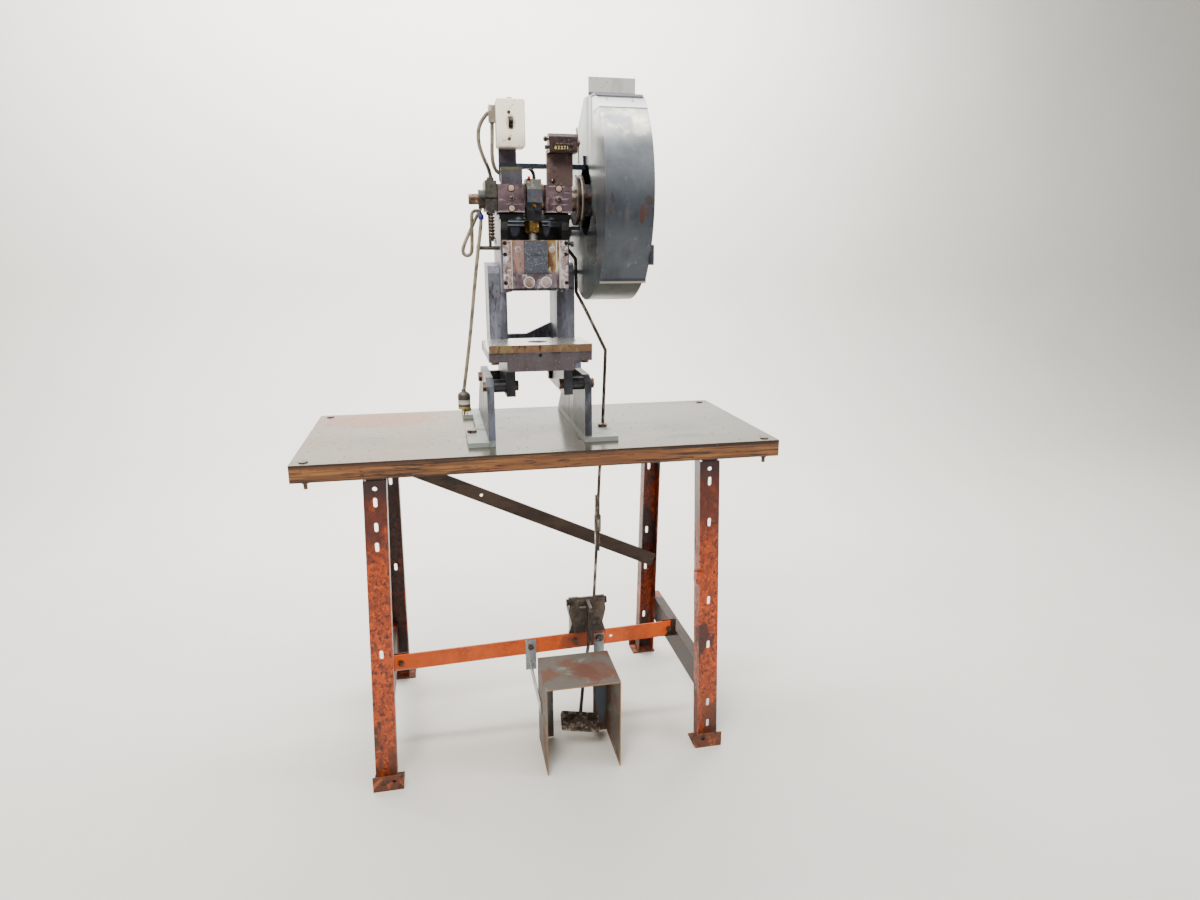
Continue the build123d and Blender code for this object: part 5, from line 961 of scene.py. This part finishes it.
# %% Weld bead tree
bead, group = new_tree("weld_bead", "Width")
ball = add(bead, "GeometryNodeMeshUVSphere", {"Segments": 10, "Rings": 6, "Radius": 0.5})
uneven = add(bead, "FunctionNodeRandomValue", {2: 0.8, 3: 1.2, "Seed": 7}, data_type="FLOAT")
size = add(bead, "ShaderNodeMath", {0: uneven.outputs[1], 1: group["Width"]}, operation="MULTIPLY")
end_tree(bead, group, ball.outputs[0], size.outputs[0], smooth=True)

# %% Strap welds
f = Finish("arc_weld_steel", "#4d4038", 0.5, 0.5)
f.stain("#7d5a3e", 6, 0.48, 0.6, seed=3, rough=0.7)
strap_seams = [(x, y, z) for x in (-27.6, 174.6) for z in (131, 161.5) for y in range(44, 112, 2)]
grow("strap_welds", bead, {"Width": 3.6}, f.done(), strap_seams, UP, "frame")

# %% [markdown]
# ## Fins on the motor
#
# A totally enclosed motor sheds heat through thin ribs around its shell. A rib is a four-sided cone,
# so it tapers as a casting does. Every rib stands on a point of a circle and faces outwards, and the
# few points over the motor's feet are left out.

# %% Motor fins
rib, group = new_tree("cooling_rib", "Length", "Thickness", "Height")
block = add(rib, "GeometryNodeMeshCone",
            {"Vertices": 4, "Radius Top": 0.55, "Radius Bottom": math.sqrt(0.5), "Depth": 1.0})
squared = add(rib, "GeometryNodeTransform",
              {"Geometry": block.outputs[0], "Rotation": (0, 0, math.radians(45))})
size = add(rib, "ShaderNodeCombineXYZ", {0: group["Length"], 1: group["Thickness"], 2: group["Height"]})
end_tree(rib, group, squared.outputs[0], size.outputs[0])
SHELL = 61
around = [math.radians(a) for a in range(-52, 233, 9)]
grow("motor_fins", rib, {"Length": 150, "Thickness": 3, "Height": 8}, motor_enamel,
     [(7.5, MOTOR_Y + SHELL * math.cos(a), MOTOR_Z + SHELL * math.sin(a)) for a in around],
     [(0, math.cos(a), math.sin(a)) for a in around], "frame")

# %% [markdown]
# ## Figures on the stroke counter
#
# The counter shows five figure wheels behind a slot. Plain digits, raised a hair, stand on them. A
# text object is made a mesh before it is put in place, so the piece ends at the origin.

# %% Counter figures
figure_paint = Finish("printed_figures", "#e3da7c", 0.5).stain(
    "#9c9348", 2, 0.5, 0.62, seed=3, cover=0.6).done()
FIGURES = "03271"
for i, figure in enumerate(FIGURES):
    text = bpy.data.curves.new("figure", "FONT")
    text.body = figure
    text.size = 0.0100
    text.extrude = 0.0004
    text.align_x = "CENTER"
    source = placed("figure_source", text)
    mesh = plain_mesh(source)
    bpy.data.objects.remove(source)
    for vertex in mesh.vertices:
        x, y, z = vertex.co
        vertex.co = spot(41 + 7.1 * i, 94.5, 1599.6) + Vector((x, -z, y))
    mesh.materials.clear()
    mesh.materials.append(figure_paint)
    piece = placed("counter_figure_%d" % (i + 1), mesh)
    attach(piece, "frame")
print("counter shows", FIGURES)

# %% [markdown]
# ## Blue tie
#
# A turn of blue vinyl tape marks the folded cord. It is a short tube, slightly pinched, and a
# Solidify modifier gives it its thickness. Vinyl is smooth, with a soft sheen.

# %% Blue tie
f = Finish("blue_vinyl_tape", "#27298f", 0.45)
f.stain("#17184d", 6, 0.5, 0.64, seed=2, cover=0.7)
AROUND, ROWS, TIE_RADIUS = 32, 5, 6.4
verts, faces = [], []
for j in range(ROWS + 1):
    for i in range(AROUND):
        a = 2 * math.pi * i / AROUND
        pinch = 1 - 0.05 * abs(2 * j / ROWS - 1) + 0.03 * math.sin(3 * a + j)
        out = Vector((math.cos(a), math.sin(a), 0)) * TIE_RADIUS * pinch / 1000
        verts.append(spot(-135, 172.8, 1442 + 2.2 * j) + out)
for j in range(ROWS):
    for i in range(AROUND):
        a, b = j * AROUND + i, j * AROUND + (i + 1) % AROUND
        faces.append((a, b, b + AROUND, a + AROUND))
tie = mesh_piece("cord_tie", verts, faces, [f.bump(2, 0.1, seed=3).done()], "frame")
tape = tie.modifiers.new("thickness", "SOLIDIFY")
tape.thickness = 0.0008
tape.offset = 0

# %% [markdown]
# ## Stage
#
# The floor and the wall behind are plain and pale, joined by a cove, so that nothing competes with
# the machine.

# %% Floor and wall
steps = [(-4.5, 0.0), (2.2, 0.0)]
for i in range(1, 13):
    a = math.pi / 2 * i / 12
    steps.append((2.2 + 1.2 * math.sin(a), 1.2 - 1.2 * math.cos(a)))
steps.append((3.4, 5.0))
floor_mesh = bpy.data.meshes.new("floor")
floor_mesh.from_pydata([(x, y, z) for x in (-7.0, 7.0) for y, z in steps], [],
                       [(i, i + len(steps), i + len(steps) + 1, i + 1) for i in range(len(steps) - 1)][::-1])
floor_mesh.shade_smooth()
f = Finish("matt_studio_paper", "#d6d3ca", 0.7)
f.stain("#ccc8be", 600, 0.4, 0.7, seed=2, cover=0.5)
floor_mesh.materials.append(f.done())
floor = placed("floor", floor_mesh)
print("stage is", len(floor_mesh.polygons), "strips")

# %% [markdown]
# ## Light
#
# Bare metal only looks like metal when it has something uneven to reflect, so the world is brighter
# above than below, and soft rectangles stand over, left and right. A wash on the wall keeps it pale.

# %% World
world = bpy.data.worlds.new("studio")
bpy.context.scene.world = world
world.use_nodes = True
sky = world.node_tree
direction = add(sky, "ShaderNodeTexCoord").outputs["Generated"]
height = add(sky, "ShaderNodeSeparateXYZ", {0: direction}).outputs["Z"]
share = add(sky, "ShaderNodeMapRange", {0: height, 1: -0.25, 2: 0.9}).outputs[0]
tint = add(sky, "ShaderNodeMix", {0: share, 6: linear("#7f8488"), 7: linear("#ffffff")}, data_type="RGBA")
background = sky.nodes["Background"]
sky.links.new(tint.outputs[2], background.inputs["Color"])
background.inputs["Strength"].default_value = 0.85


# %% Lamps
def soft_light(name, place, target, size, power, colour="#ffffff"):
    light = bpy.data.lights.new(name, "AREA")
    light.shape = "RECTANGLE"
    light.size, light.size_y = size
    light.energy = power
    light.color = linear(colour)[:3]
    lamp = placed(name, light)
    lamp.location = place
    lamp.rotation_euler = (Vector(target) - Vector(place)).to_track_quat("-Z", "Y").to_euler()
    print(name, "gives", power, "W")


soft_light("overhead", (-0.3, -0.5, 3.5), (0, 0, 1.2), (2.6, 1.6), 90)
soft_light("front_left", (-1.1, -2.3, 3.3), (0, 0, 1.2), (1.0, 1.0), 110, "#fffaf2")
soft_light("right", (2.8, -1.4, 2.0), (0.1, 0, 1.2), (0.8, 2.2), 45, "#f2f7ff")
soft_light("wall_wash", (0.0, 1.6, 3.6), (0, 3.4, 1.2), (5.0, 1.0), 520)

# %% [markdown]
# ## Camera
#
# The camera stands where the photographer stood, found from the corners of the bench top.

# %% Camera
camera = bpy.data.cameras.new("photo_camera")
camera.sensor_width = 36.0
camera.lens = 22.87
eye = placed("photo_camera", camera)
eye.location = spot(-259.76, -1804.81, 1363.81)
eye.rotation_euler = (math.radians(75.45), 0, math.radians(-12.11))
bpy.context.scene.camera = eye
print("camera at", tuple(eye.location))
